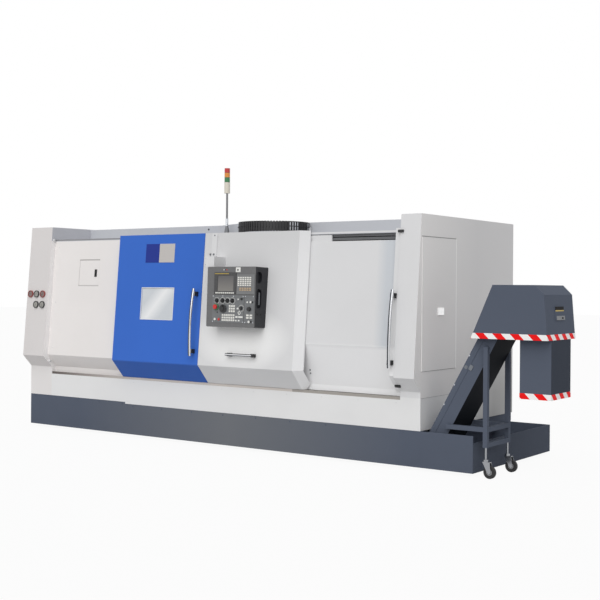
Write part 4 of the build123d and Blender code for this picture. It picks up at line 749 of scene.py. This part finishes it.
for finish, names in (
        (bed_paint, ("bed_casting", "headstock", "carriage", "cross_slide", "tailstock")),
        (tool_steel, ("conveyor_belt", "spindle", "chuck_body", "chuck_jaw_1", "chuck_jaw_2", "chuck_jaw_3",
                      "z_ballscrew", "turret_disc", "quill", "live_centre")),
        (slate_paint, ("conveyor_hood", "conveyor_control_box", "conveyor_legs")),
        (white_paint, ("electrical_door", "console_bracket")),
        (red_cap, ("main_switch", "emergency_stop", "feed_hold_button")),
        (black_moulding, ("drag_chain", "handwheel", "mode_knob", "feed_knob", "rapid_knob", "spindle_knob")),
        (fork_zinc, ("caster_fork_front", "caster_fork_rear")),
        (tyre, ("caster_wheel_front", "caster_wheel_rear"))):
    node_finish.update(dict.fromkeys(names, finish))
for node_name, finish in node_finish.items():
    materials = nodes[node_name].data.materials
    materials.clear()
    materials.append(finish.material)


def new_object(name, data):
    """An object in the scene."""
    made = bpy.data.objects.new(name, data)
    bpy.context.scene.collection.objects.link(made)
    return made


def mount(made, body):
    """A piece on the body that it rides on, unless it is bent between two."""
    if body:
        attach(made, body)
    return made


def piece(name, parts, finish, body, soft_edge=0.0):
    """A piece of the machine from the shapes that it is made of."""
    mesh = bpy.data.meshes.new(name)
    shape = bmesh.new()
    for part in parts:
        part(shape)
    bmesh.ops.remove_doubles(shape, verts=shape.verts, dist=1e-6)
    bmesh.ops.recalc_face_normals(shape, faces=shape.faces)
    shape.to_mesh(mesh)
    shape.free()
    made = new_object(name, mesh)
    mesh.materials.append(finish.material)
    if soft_edge:
        bevel = made.modifiers.new("soft edges", "BEVEL")
        bevel.width = soft_edge * MM
        bevel.segments = 2
        bevel.limit_method = "ANGLE"
    return mount(made, body)


def block(face, x0, x1, y0, y1, z0, z1):
    """A block in a face's frame."""
    size = Matrix.Diagonal((x1 - x0, y1 - y0, z1 - z0, 1))
    centre = Matrix.Translation(((x0 + x1) / 2, (y0 + y1) / 2, (z0 + z1) / 2))
    return lambda shape: bmesh.ops.create_cube(shape, size=1, matrix=face @ centre @ size)


def disc(face, x, y, z0, z1, radius, sides=24, top_radius=None):
    """A round boss standing on a face."""
    middle = Matrix.Translation((x, y, (z0 + z1) / 2))
    return lambda shape: bmesh.ops.create_cone(
        shape, cap_ends=True, segments=sides, radius1=radius,
        radius2=radius if top_radius is None else top_radius, depth=z1 - z0, matrix=face @ middle)


def rim(face, x0, x1, y0, y1, z0, z1, width):
    """The four blocks of a picture frame in a face's frame."""
    return [block(face, x0, x1, y0, y0 + width, z0, z1),
            block(face, x0, x1, y1 - width, y1, z0, z1),
            block(face, x0, x0 + width, y0 + width, y1 - width, z0, z1),
            block(face, x1 - width, x1, y0 + width, y1 - width, z0, z1)]


def skin(shape, rings):
    """A closed band of faces from each ring of points to the next, and from the last to the first."""
    rings = [[shape.verts.new(point) for point in ring] for ring in rings]
    for low, high in zip(rings, rings[1:] + rings[:1]):
        for i in range(len(low)):
            j = (i + 1) % len(low)
            shape.faces.new((low[i], low[j], high[j], high[i]))


class Growth:
    """A geometry tree with named inputs, which ends in real geometry with its material set."""

    def __init__(self, name, **inputs):
        self.tree = bpy.data.node_groups.new(name, "GeometryNodeTree")
        sockets = self.tree.interface
        self.ids = {}
        for label, kind in dict(Geometry="Geometry", **inputs, Finish="Material").items():
            socket = sockets.new_socket(label, in_out="INPUT", socket_type=f"NodeSocket{kind}")
            self.ids[label] = socket.identifier
        sockets.new_socket("Geometry", in_out="OUTPUT", socket_type="NodeSocketGeometry")
        self.given = self.tree.nodes.new("NodeGroupInput").outputs
        self.end = self.tree.nodes.new("NodeGroupOutput").inputs[0]

    def node(self, kind, settings=None, **values):
        """A node's first output: its settings, then its sockets' values, where a word names an input."""
        made = self.tree.nodes.new(kind)
        for key, value in (settings or {}).items():
            setattr(made, key, value)
        for key, value in values.items():
            socket = made.inputs[key.replace("_", " ")]
            value = self.given[value] if isinstance(value, str) else value
            if isinstance(value, bpy.types.NodeSocket):
                self.tree.links.new(value, socket)
            else:
                socket.default_value = value
        return made.outputs[0]

    def copies(self, points, shape, turn):
        """A shape on each point, turned."""
        return self.node("GeometryNodeInstanceOnPoints", Points=points, Instance=shape, Rotation=turn)

    def stand(self, mesh, shape):
        """A shape on every point of a mesh, all turned one way."""
        points = self.node("GeometryNodeMeshToPoints", Mesh=mesh)
        return self.copies(points, shape, self.node("FunctionNodeEulerToRotation", Euler="Turn"))

    def close(self, geometry):
        """Ends the tree, and returns it with the ids of its inputs."""
        real = self.node("GeometryNodeRealizeInstances", Geometry=geometry)
        self.tree.links.new(self.node("GeometryNodeSetMaterial", Geometry=real, Material="Finish"), self.end)
        return self.tree, self.ids


def screw_tree():
    """Button-head screws on a set of points."""
    tree = Growth("button head screws", Radius="Float", Height="Float", Turn="Vector")
    head = tree.node("GeometryNodeMeshCylinder", {"fill_type": "NGON"}, Vertices=12, Radius="Radius",
                     Depth="Height")
    return tree.close(tree.stand("Geometry", head))


def rung_tree():
    """Equal bars in a row, such as louvres."""
    tree = Growth("rows of bars", Count="Int", First="Vector", Step="Vector", Size="Vector", Turn="Vector")
    bar = tree.node("GeometryNodeMeshCube", Size="Size")
    row = tree.node("GeometryNodeMeshLine", {"mode": "OFFSET"}, Count="Count", Start_Location="First",
                    Offset="Step")
    return tree.close(tree.stand(row, bar))


def tick_tree():
    """Scale marks round a circle, all pointing at its middle."""
    tree = Growth("scale marks", Count="Int", Radius="Float", Mark="Vector", Place="Vector", Turn="Vector")
    ring = tree.node("GeometryNodeMeshCircle", {"fill_type": "NONE"}, Vertices="Count", Radius="Radius")
    points = tree.node("GeometryNodeMeshToPoints", Mesh=ring)
    aim = tree.node("FunctionNodeAlignRotationToVector", {"axis": "X"},
                    Vector=tree.node("GeometryNodeInputPosition"))
    mark = tree.node("GeometryNodeMeshCube", Size="Mark")
    real = tree.node("GeometryNodeRealizeInstances", Geometry=tree.copies(points, mark, aim))
    return tree.close(tree.node("GeometryNodeTransform", Geometry=real, Translation="Place", Rotation="Turn"))


def chain_tree():
    """Cable chain links along a path: two side cheeks, a waist and a cross pin for each."""
    tree = Growth("cable chain links", Links="Int", Cheek="Vector", Waist="Vector", Pin="Float")
    path = tree.node("GeometryNodeMeshToCurve", Mesh="Geometry")
    spaced = tree.node("GeometryNodeResampleCurve", Curve=path, Count="Links")
    aim = tree.node("FunctionNodeAlignRotationToVector", {"axis": "X"},
                    Vector=tree.node("GeometryNodeInputTangent"))
    cheek = tree.node("GeometryNodeMeshCube", Size="Cheek")
    waist = tree.node("GeometryNodeMeshCube", Size="Waist")
    pin = tree.node("GeometryNodeMeshCylinder", {"fill_type": "NGON"}, Vertices=10, Radius="Pin", Depth=0.058)
    pin = tree.node("GeometryNodeTransform", Geometry=pin, Rotation=(math.pi / 2, 0, 0),
                    Translation=(0.012, 0, 0))
    link = tree.node("GeometryNodeJoinGeometry")
    for shape in (pin, waist, cheek):
        tree.tree.links.new(shape, link.node.inputs[0])
    return tree.close(tree.copies(spaced, link, aim))


trees = {"screws": screw_tree(), "rungs": rung_tree(), "ticks": tick_tree(), "chain": chain_tree()}


def grown(name, tree_name, settings, finish, body, points=((0, 0, 0),), joined=False):
    """A piece grown by a geometry tree on a few points, kept as a plain mesh."""
    tree, ids = trees[tree_name]
    edges = [(i, i + 1) for i in range(len(points) - 1)] if joined else []
    seed_mesh = bpy.data.meshes.new(f"{name} points")
    seed_mesh.from_pydata([tuple(point) for point in points], edges, [])
    seed = new_object(f"{name} seed", seed_mesh)
    modifier = seed.modifiers.new("grown", "NODES")
    modifier.node_group = tree
    for label, value in settings.items():
        modifier[ids[label]] = value
    modifier[ids["Finish"]] = finish.material
    graph = bpy.context.evaluated_depsgraph_get()
    mesh = bpy.data.meshes.new_from_object(seed.evaluated_get(graph), depsgraph=graph)
    seed.modifiers.remove(modifier)
    bpy.data.objects.remove(seed)
    mesh.name = name
    return mount(new_object(name, mesh), body)


lean_turn = (math.pi / 2 - lean, 0.0, 0.0)
front_turn = (math.pi / 2, 0.0, 0.0)


def screws(name, places, turn, radius, height, finish, body):
    """A set of screw heads at places in metres."""
    settings = {"Radius": radius * MM, "Height": height * MM, "Turn": turn}
    return grown(name, "screws", settings, finish, body, places)


def ticks(name, face, place, count, radius, mark, finish, body):
    """Marks round a circle about a place on a face, all in millimetres."""
    settings = {"Count": count, "Radius": radius * MM, "Mark": tuple(side * MM for side in mark),
                "Place": tuple(face @ Vector(place)), "Turn": tuple(face.to_euler())}
    return grown(name, "ticks", settings, finish, body)


# Main door: bare plate, window seal
plate = leaning_face(*plate_place, -door_proud)
piece("door_plate", [block(plate, 0, 407, 0, 197, -0.5, 3.0)], plate_finish(), "main_door",
      1.0)
pane = leaning_face(*pane_place, -door_proud)
piece("window_seal", rim(pane, -5, 456, -5, 336, -2.0, 1.5, 7), white_key, "main_door", 1.0)


# Console: screen, card cover, lamps, switches and scales
def spot(u, v):
    """A place on the console's face from shares of its width and height."""
    return u * console_width, v * console_height


def key_block(u0, v0, u1, v1, low, high):
    """A block between two places on the console's face, from one height over the face to another."""
    (x0, y0), (x1, y1) = spot(u0, v0), spot(u1, v1)
    return block(console, x0, x1, y0, y1, low, high)


def key_disc(u, v, low, high, radius, top_radius):
    """A round key at a place on the console's face."""
    return disc(console, *spot(u, v), low, high, radius, top_radius=top_radius)


def dark_boss(u, v, radius, height):
    """A dark boss, standing on the face in the upper half and on a switch plate in the lower."""
    base = 0.0 if v > 0.5 else 3.0
    return key_disc(u, v, base - 0.5, base + height, radius, radius * 0.9)


def console_piece(name, parts, finish, soft_edge=0.0):
    """A plastic piece on the console, riding with the middle door."""
    return piece(name, parts, finish, "panel_door", soft_edge)


piece("display_glass", [key_block(0.226, screen_low, 0.553, screen_high, 1.8, 3.2)], screen_finish(),
      "panel_door")
console_piece("display_trim", [key_block(0.161, 0.878, 0.457, 0.889, 5.8, 6.8)], yellow_ring, 0.3)
console_piece("card_cover", [key_block(0.594, 0.908, 0.689, 0.988, -0.5, 4)], white_key, 1.2)
piece("console_dark_bosses", [dark_boss(*row) for row in (
    (0.639, 0.946, 9, 8), (0.375, lamp_row, 6, 2), (0.733, 0.469, 11, 14), (0.950, 0.418, 10, 6),
    (0.727, 0.316, 17, 18), (0.892, 0.305, 22, 20), (0.929, 0.100, 12, 5), (0.232, 0.243, 7, 4))],
    black_moulding, "panel_door", 0.8)
pale_discs = [key_disc(u, v, 2.5, 8, radius, radius * 0.92) for u, v, radius in (
    (0.662, 0.462, 8), (0.654, 0.310, 10), (0.849, 0.416, 9), (0.917, 0.418, 12), (0.887, 0.096, 13))]
pale_blocks = [key_block(*corners, 2.5, 6) for corners in (
    (0.615, 0.157, 0.660, 0.185), (0.673, 0.157, 0.763, 0.185),
    (0.612, 0.100, 0.640, 0.124), (0.668, 0.100, 0.700, 0.124))]
console_piece("console_pale_buttons", pale_discs + pale_blocks, white_key, 0.8)
for name, share, finish in (("power_lamp", 0.345, white_key), ("alarm_lamp", 0.405, red_cap)):
    console_piece(name, [key_disc(share, lamp_row, -0.5, 2.5, 6, 5)], finish)
diamond = console @ Matrix.Translation((*spot(0.690, 0.238), 0)) @ Matrix.Rotation(math.pi / 4, 4, "Z")
console_piece("jog_diamond", rim(diamond, -15, 15, -15, 15, 2.5, 5.5, 6), white_key, 0.5)
knob_places = [(u, 0.437) for u in (0.219, 0.339, 0.440, 0.543)] + [(0.727, 0.316)]
for number, (u, v) in enumerate(knob_places, start=1):
    ticks(f"knob_scale_{number}", console, (*spot(u, v), 3.2), 26, 30, (8, 2.6, 0.8),
          white_key, "panel_door")


def stop_ring(shape):
    """The collar round the emergency stop."""
    ring = console @ Matrix.Translation((*spot(0.209, 0.332), 8))
    turns = [2 * math.pi * i / 40 for i in range(40)]
    skin(shape, [[ring @ Vector((radius * math.cos(turn), radius * math.sin(turn), height)) for turn in turns]
                 for radius, height in ((24, -0.3), (24, 0.8), (33, 0.8), (33.6, -0.3))])


console_piece("stop_collar", [stop_ring], green_cap)
ticks("handwheel_ribs", console, (*spot(0.361, 0.306), 14), 36, 37.6, (2.4, 3.0, 14),
      grey_moulding, "handwheel")
corners = [console @ Vector((*spot(u, v), 3.4)) for u, v in (
    (0.138, 0.512), (0.340, 0.512), (0.565, 0.512), (0.762, 0.512), (0.138, 0.089), (0.762, 0.089),
    (0.805, 0.512), (0.970, 0.512), (0.805, 0.084), (0.970, 0.084))]
screws("console_screws", corners, tuple(console.to_euler()), 5, 2.4, zinc_plate, "panel_door")
grip_middle = 0.478 * console_height
console_piece("console_grip_bar", [block(
    console, console_width - 22, console_width - 8, grip_middle - 60, grip_middle + 60,
    -0.5 * console_depth, -0.42 * console_depth)], grey_moulding, 2.0)
console_side = flat_face(console_left + console_width, -233, 1374, *end_on)
piece("console_side_plugs", [disc(console_side, x, 0, -0.5, 2.0, 10) for x in (-26, 26)], black_rubber,
      "panel_door", 0.5)

# Bracket over the console: its screws and cable glands
bracket_points = [on_lean(x, z, -door_proud, 6) for x in (2734, 2894) for z in (1862, 1928)]
bracket_points.append(on_lean(2837, 2158, -door_proud, 13))
screws("bracket_screws", bracket_points, lean_turn, 7, 4, dull_steel, "panel_door")
console_piece("bracket_glands", [disc(leaning_face(x, 1966, -door_proud), 0, 0, -0.5, 18, 10)
                                 for x in (2792, 2837)], grey_moulding, 1.0)

# Pressure gauges: dials, pointers and scales
for number, (x, height, dial) in enumerate((
        (64, upper_gauges, red_dial), (164, upper_gauges, pale_dial), (268, upper_gauges, red_dial),
        (166, lower_gauges, pale_dial), (269, lower_gauges, pale_dial)), start=1):
    gauge = leaning_face(x, height, 0)
    piece(f"gauge_dial_{number}", [disc(gauge, 0, 0, 10.6, 12.0, 33.5, 36)], dial, "root")
    pointer = gauge @ Matrix.Rotation(0.7 + 0.5 * number, 4, "Z")
    piece(f"gauge_pointer_{number}", [block(pointer, -1.6, 1.6, -9, 25, 11.9, 13.0)], black_moulding, "root")
    ticks(f"gauge_scale_{number}", gauge, (0, 0, 12.1), 30, 28.5, (5, 1.2, 0.6), black_moulding, "root")

# Cable chain on the roof, bent between its fixed end and the middle door: an arc through both ends that
# touches its foremost line
chain_start, chain_end, chain_front = (2903.0, 300.0), (3535.0, 560.0), 60.0
chain_level = 2250.0
chain_span = chain_end[0] - chain_start[0]
start_rise, end_rise = chain_start[1] - chain_front, chain_end[1] - chain_front
whole = chain_span ** 2 + end_rise * (end_rise - start_rise)
reach = whole / (chain_span + math.sqrt(chain_span ** 2 + (end_rise / start_rise - 1) * whole))
chain_radius = (reach ** 2 + start_rise ** 2) / (2 * start_rise)
chain_middle = at(chain_start[0] + reach, chain_front + chain_radius, chain_level)
first_turn = math.atan2(-reach, chain_radius - start_rise)
last_turn = math.atan2(chain_span - reach, chain_radius - end_rise)
path_steps, link_count = 80, 41
chain_path = []
for i in range(path_steps + 1):
    turn = first_turn + (last_turn - first_turn) * i / path_steps
    chain_path.append(chain_middle + Vector((math.sin(turn), -math.cos(turn), 0)) * chain_radius * MM)
chain = grown("cable_chain", "chain",
              {"Links": link_count, "Cheek": (0.017, 0.046, 0.102), "Waist": (0.029, 0.034, 0.09), "Pin": 0.005},
              black_moulding, None, chain_path, joined=True)


def chain_glint_bar(number):
    """A bright cross bar between a link and the next: a painted glint of the chain."""
    turn = first_turn + (last_turn - first_turn) * (number + 1 / 2) / (link_count - 1)
    link = Matrix.Translation(chain_middle) @ Matrix.Rotation(turn, 4, "Z") @ Matrix.Scale(MM, 4)
    return block(link, -4.5, 4.5, -chain_radius - 24, -chain_radius + 24, -40, 40)


# Painted glints: bright bars between some of the links, where the chain catches light.
glint_bars = piece("chain_bars", [chain_glint_bar(number) for number in (2, 3, 4, 28, 29, 30, 31, 37, 38)],
                    zinc_plate, None)
for bent in (chain, glint_bars):
    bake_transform(bent)


def chain_plate(shape):
    """The plate that holds the chain's fixed end; its top falls to the left."""
    face = flat_face(2435, 300, roof_height, *front_on)
    block(face, 0, 468, 0, 149, 0, 6)(shape)
    left_top = face @ Vector((0, 149, 0))
    for corner in shape.verts:
        if (corner.co - left_top).length < 7 * MM:
            corner.co.z -= 30 * MM


piece("chain_plate", [chain_plate], housing_paint, "root", 1.0)
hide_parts("drag_chain")
plate_points = [at(x, 292, z) for x, z in ((2447, 2246), (2447, 2191), (2859, 2286), (2859, 2235))]
screws("chain_plate_screws", plate_points, front_turn, 9, 5, black_moulding, "root")

# Signal tower: its foot and collar
tower_base = flat_face(2770, 200, roof_height, *top_on)
piece("tower_foot", [disc(tower_base, 0, 0, 24, 116, 32, 36, 15)], grey_moulding, "root", 1.0)
piece("tower_collar", [disc(tower_base, 0, 0, 116, 193, 15, 36)], zinc_plate, "root", 1.0)

# Tailstock door: the near end of its hanger plate
hanger_end = flat_face(3900, 66, 2060, *front_on)
piece("hanger_end", [block(hanger_end, 0, 60, 0, 80, 0, 16)], white_paint, "tail_door", 0.5)

# Middle door: the wiper lip along the back edge of its slanted side
lip = leaning_face(3944, 850, 44)
piece("door_wiper_lip", [block(lip, 0, 5.5, 0, 1285, -13, 2)], white_paint, "panel_door", 0.5)

# Screws of the tailstock door, on the slope under its bend
bend_height, slope_foot_height, slope_foot_y = 1100, 712, 62
bend_y = lean_y(bend_height) + recess_setback
slope = (slope_foot_y - bend_y) / (bend_height - slope_foot_height)
slope_points = [at(3958, bend_y + slope * (bend_height - z) - 1.5, z) for z in (847, 815)]
screws("tail_door_screws", slope_points, (math.pi / 2 + math.atan(slope), 0, 0), 7, 4, dull_steel,
       "tail_door")

# Tailstock end: seams of the end cover, a painted highlight along its edge, the slate strip behind the tank's
# basin
end_wall = flat_face(end_wall_x, 0, 0, *end_on)
piece("end_cover_seam", [block(end_wall, 9, 667, 888.5, 891.5, -0.5, 1.2),
                         block(end_wall, 9, 660, 2104, 2110, -0.5, 4.2),
                         block(end_wall, 0, 1400, 650, 652.5, -0.5, 0.8)], seam_grey, "root")
# Painted highlight: a bright strip along the end cover's back edge.
piece("end_cover_edge", [block(end_wall, 660, 670, 890, 2104, -0.5, 4.8)], highlight_edge_paint, "root",
      0.8)
skirt = flat_face(end_wall_x - 20, 0, 0, *end_on)
piece("base_end_skirt", [block(skirt, 540, 1930, 280, 380, 0, 12)], slate_paint, "root")

# Front: dots on the door stops, screws of the covers and panels
piece("stop_dots", [disc(flat_face(374, y, z, *end_on), 0, 0, -0.5, 1.5, 4.5, 20)
                    for y, z in ((14, 2160), (-38, 775))], black_rubber, "root")
panel_points = [on_lean(x, z, recess_setback, 1.2) for x in (420, 1420) for z in (930, 1450, 2080)]
screws("left_panel_screws", panel_points, lean_turn, 6, 3, white_paint, "root")
for name, row, height, radius, finish, slot in (
        ("front_band_screws", range(420, 4960, 410), 600, 6, white_paint, "painted_white"),
        ("fascia_screws", range(1640, 5700, 420), 338, 7, slate_paint, "painted_grey"),
        ("skirt_screws", range(80, 1500, 350), 358, 7, slate_paint, "painted_grey")):
    screws(name, [at(x, -1, height) for x in row], front_turn, radius, 3, finish, "root")


# Chip conveyor: striped tape on the hood and chute, switch box front, latch and lid screws
def hood_right_x(z):
    """The hood's far end at a height."""
    return hood_right - hood_right_slope * (z - hood_low)


def hood_tape(shape):
    """A band round the foot of the hood, standing proud of it."""
    proud, thickness = 1.6, 2.2
    outer, inner = -proud, thickness - proud
    low, high = hood_low + 0.5, hood_low + 49
    rings = []
    for inset, z in ((outer, low), (outer, high), (inner, high), (inner, low)):
        left = hood_left + hood_left_slope * (z - hood_low) + inset
        right = hood_right_x(z) - inset
        front, back = hood_front + inset, hood_back - inset
        rings.append([at(x, y, z) for x, y in ((left, front), (right, front), (right, back), (left, back))])
    skin(shape, rings)


piece("hood_tape", [hood_tape], hazard_stripes("hood edge tape", -7.6), "root")
chute = flat_face(chute_left_x, 75, 705.5, *top_on)
piece("chute_tape", rim(chute, -1.6, 284.6, -1.6, 425.6, 0, 49.5, 2.4), hazard_stripes("chute edge tape", 85),
      "root")
switch_height = 1375
switch_lean = math.atan(hood_right_slope)
switch_face = flat_face(hood_right_x(switch_height) + 6, 178, switch_height, (0, 1, 0),
                        (-math.sin(switch_lean), 0, math.cos(switch_lean)))
piece("conveyor_display", [block(switch_face, 3, 188, 90, 117, -1, 2), disc(switch_face, 149, 18, 2, 7, 9)],
      display_black, "root", 0.6)
piece("conveyor_trim", [block(switch_face, 8, 188, 77, 87, -1, 1.5)], yellow_ring, "root", 0.4)
piece("conveyor_switch_plate", [block(switch_face, 24, 200, 2, 38, -1, 2.5)], grey_moulding, "root",
      0.6)
piece("trough_latch", [disc(trough_side, 943, 137, 3.5, 8, 17, 28), disc(trough_side, 943, 137, 8, 10, 9),
                       block(trough_side, 938, 986, 78, 112, -0.5, 6)], dull_steel, "root", 0.6)
lid_points = [trough_side @ Vector((along, 158, 5.2)) for along in (543, 747, 1048)]
screws("lid_screws", lid_points, front_turn, 6, 4, zinc_plate, "root")

# Back wall: louvres, door lock, screws
for name, x in (("left_louvres", 1300), ("right_louvres", 4200)):
    grown(name, "rungs", {"Count": 14, "First": tuple(at(x, back_wall_y, 1700)), "Step": (0, 0, 0.026),
                          "Size": (0.36, 0.012, 0.010), "Turn": (0.5, 0.0, 0.0)},
          white_paint, "root")
lock = flat_face(3440, 1960, 1250, (-1, 0, 0), (0, 0, 1))
piece("electrical_door_lock", [block(lock, -16, 16, -70, 70, -0.5, 10), block(lock, -9, 9, -52, 40, 10, 18)],
      black_moulding, "electrical_door", 1.5)
wall_points = [at(x, back_wall_y - 1, z) for x in (420, 1000, 1900, 3800, 4400, 4900) for z in (470, 1300, 2230)]
screws("back_wall_screws", wall_points, front_turn, 8, 4, zinc_plate, "root")

# Floor, light and camera
floor_mesh = bpy.data.meshes.new("floor")
floor_mesh.from_pydata([(-60, -60, 0), (60, -60, 0), (60, 60, 0), (-60, 60, 0)], [], [(0, 1, 2, 3)])
floor = new_object("floor", floor_mesh)
studio = Finish("studio floor", 0.9)
studio.paint(studio.mix(studio.noise(0.6, 2.0), (0.61, 0.61, 0.61, 1), (0.63, 0.63, 0.63, 1)))
paper = studio.node("ShaderNodeEmission", values={"Color": (1, 1, 1, 1), "Strength": 1.0})
lit = Wire(studio, studio.shader.outputs[0])
sheet = studio.node("ShaderNodeMixShader", values={0: studio.seen() * 0.94, 1: lit, 2: paper})
studio.tree.links.new(sheet.socket, studio.tree.nodes["Material Output"].inputs["Surface"])
floor_mesh.materials.append(studio.material)

ambient_strength, seen_strength = 0.48, 1.0
backdrop = Backdrop("studio")
backdrop.set("Color", (1.0, 1.0, 1.0, 1.0))
backdrop.set("Strength", backdrop.node("ShaderNodeMix", {"data_type": "FLOAT"},
                                       {0: backdrop.seen(), 2: ambient_strength, 3: seen_strength}))

sun_data = bpy.data.lights.new("soft key light", "SUN")
sun_data.energy = 1.55
sun_data.angle = math.radians(60)
sun = new_object("soft key light", sun_data)
sun.rotation_euler = Vector((-0.28, 0.72, -0.62)).to_track_quat("-Z", "Y").to_euler()

picture_width, focal_pixels, horizon_row = 600, 1091.6467, 287.8148
camera_turn, camera_roll = 0.6197, 0.0075
camera_data = bpy.data.cameras.new("photograph")
camera_data.sensor_width = 36.0
camera_data.lens = focal_pixels * camera_data.sensor_width / picture_width
camera_data.shift_y = (horizon_row - picture_width / 2) / picture_width
camera_data.clip_end = 200.0
camera = new_object("photograph", camera_data)
heading = (Matrix.Rotation(camera_turn, 4, "Z") @ Matrix.Rotation(math.pi / 2, 4, "X")
           @ Matrix.Rotation(camera_roll, 4, "Z"))
camera.matrix_world = Matrix.Translation(at(9961.8, -8567.7, 1635)) @ heading
bpy.context.scene.camera = camera
bpy.context.scene.view_settings.view_transform = "Standard"
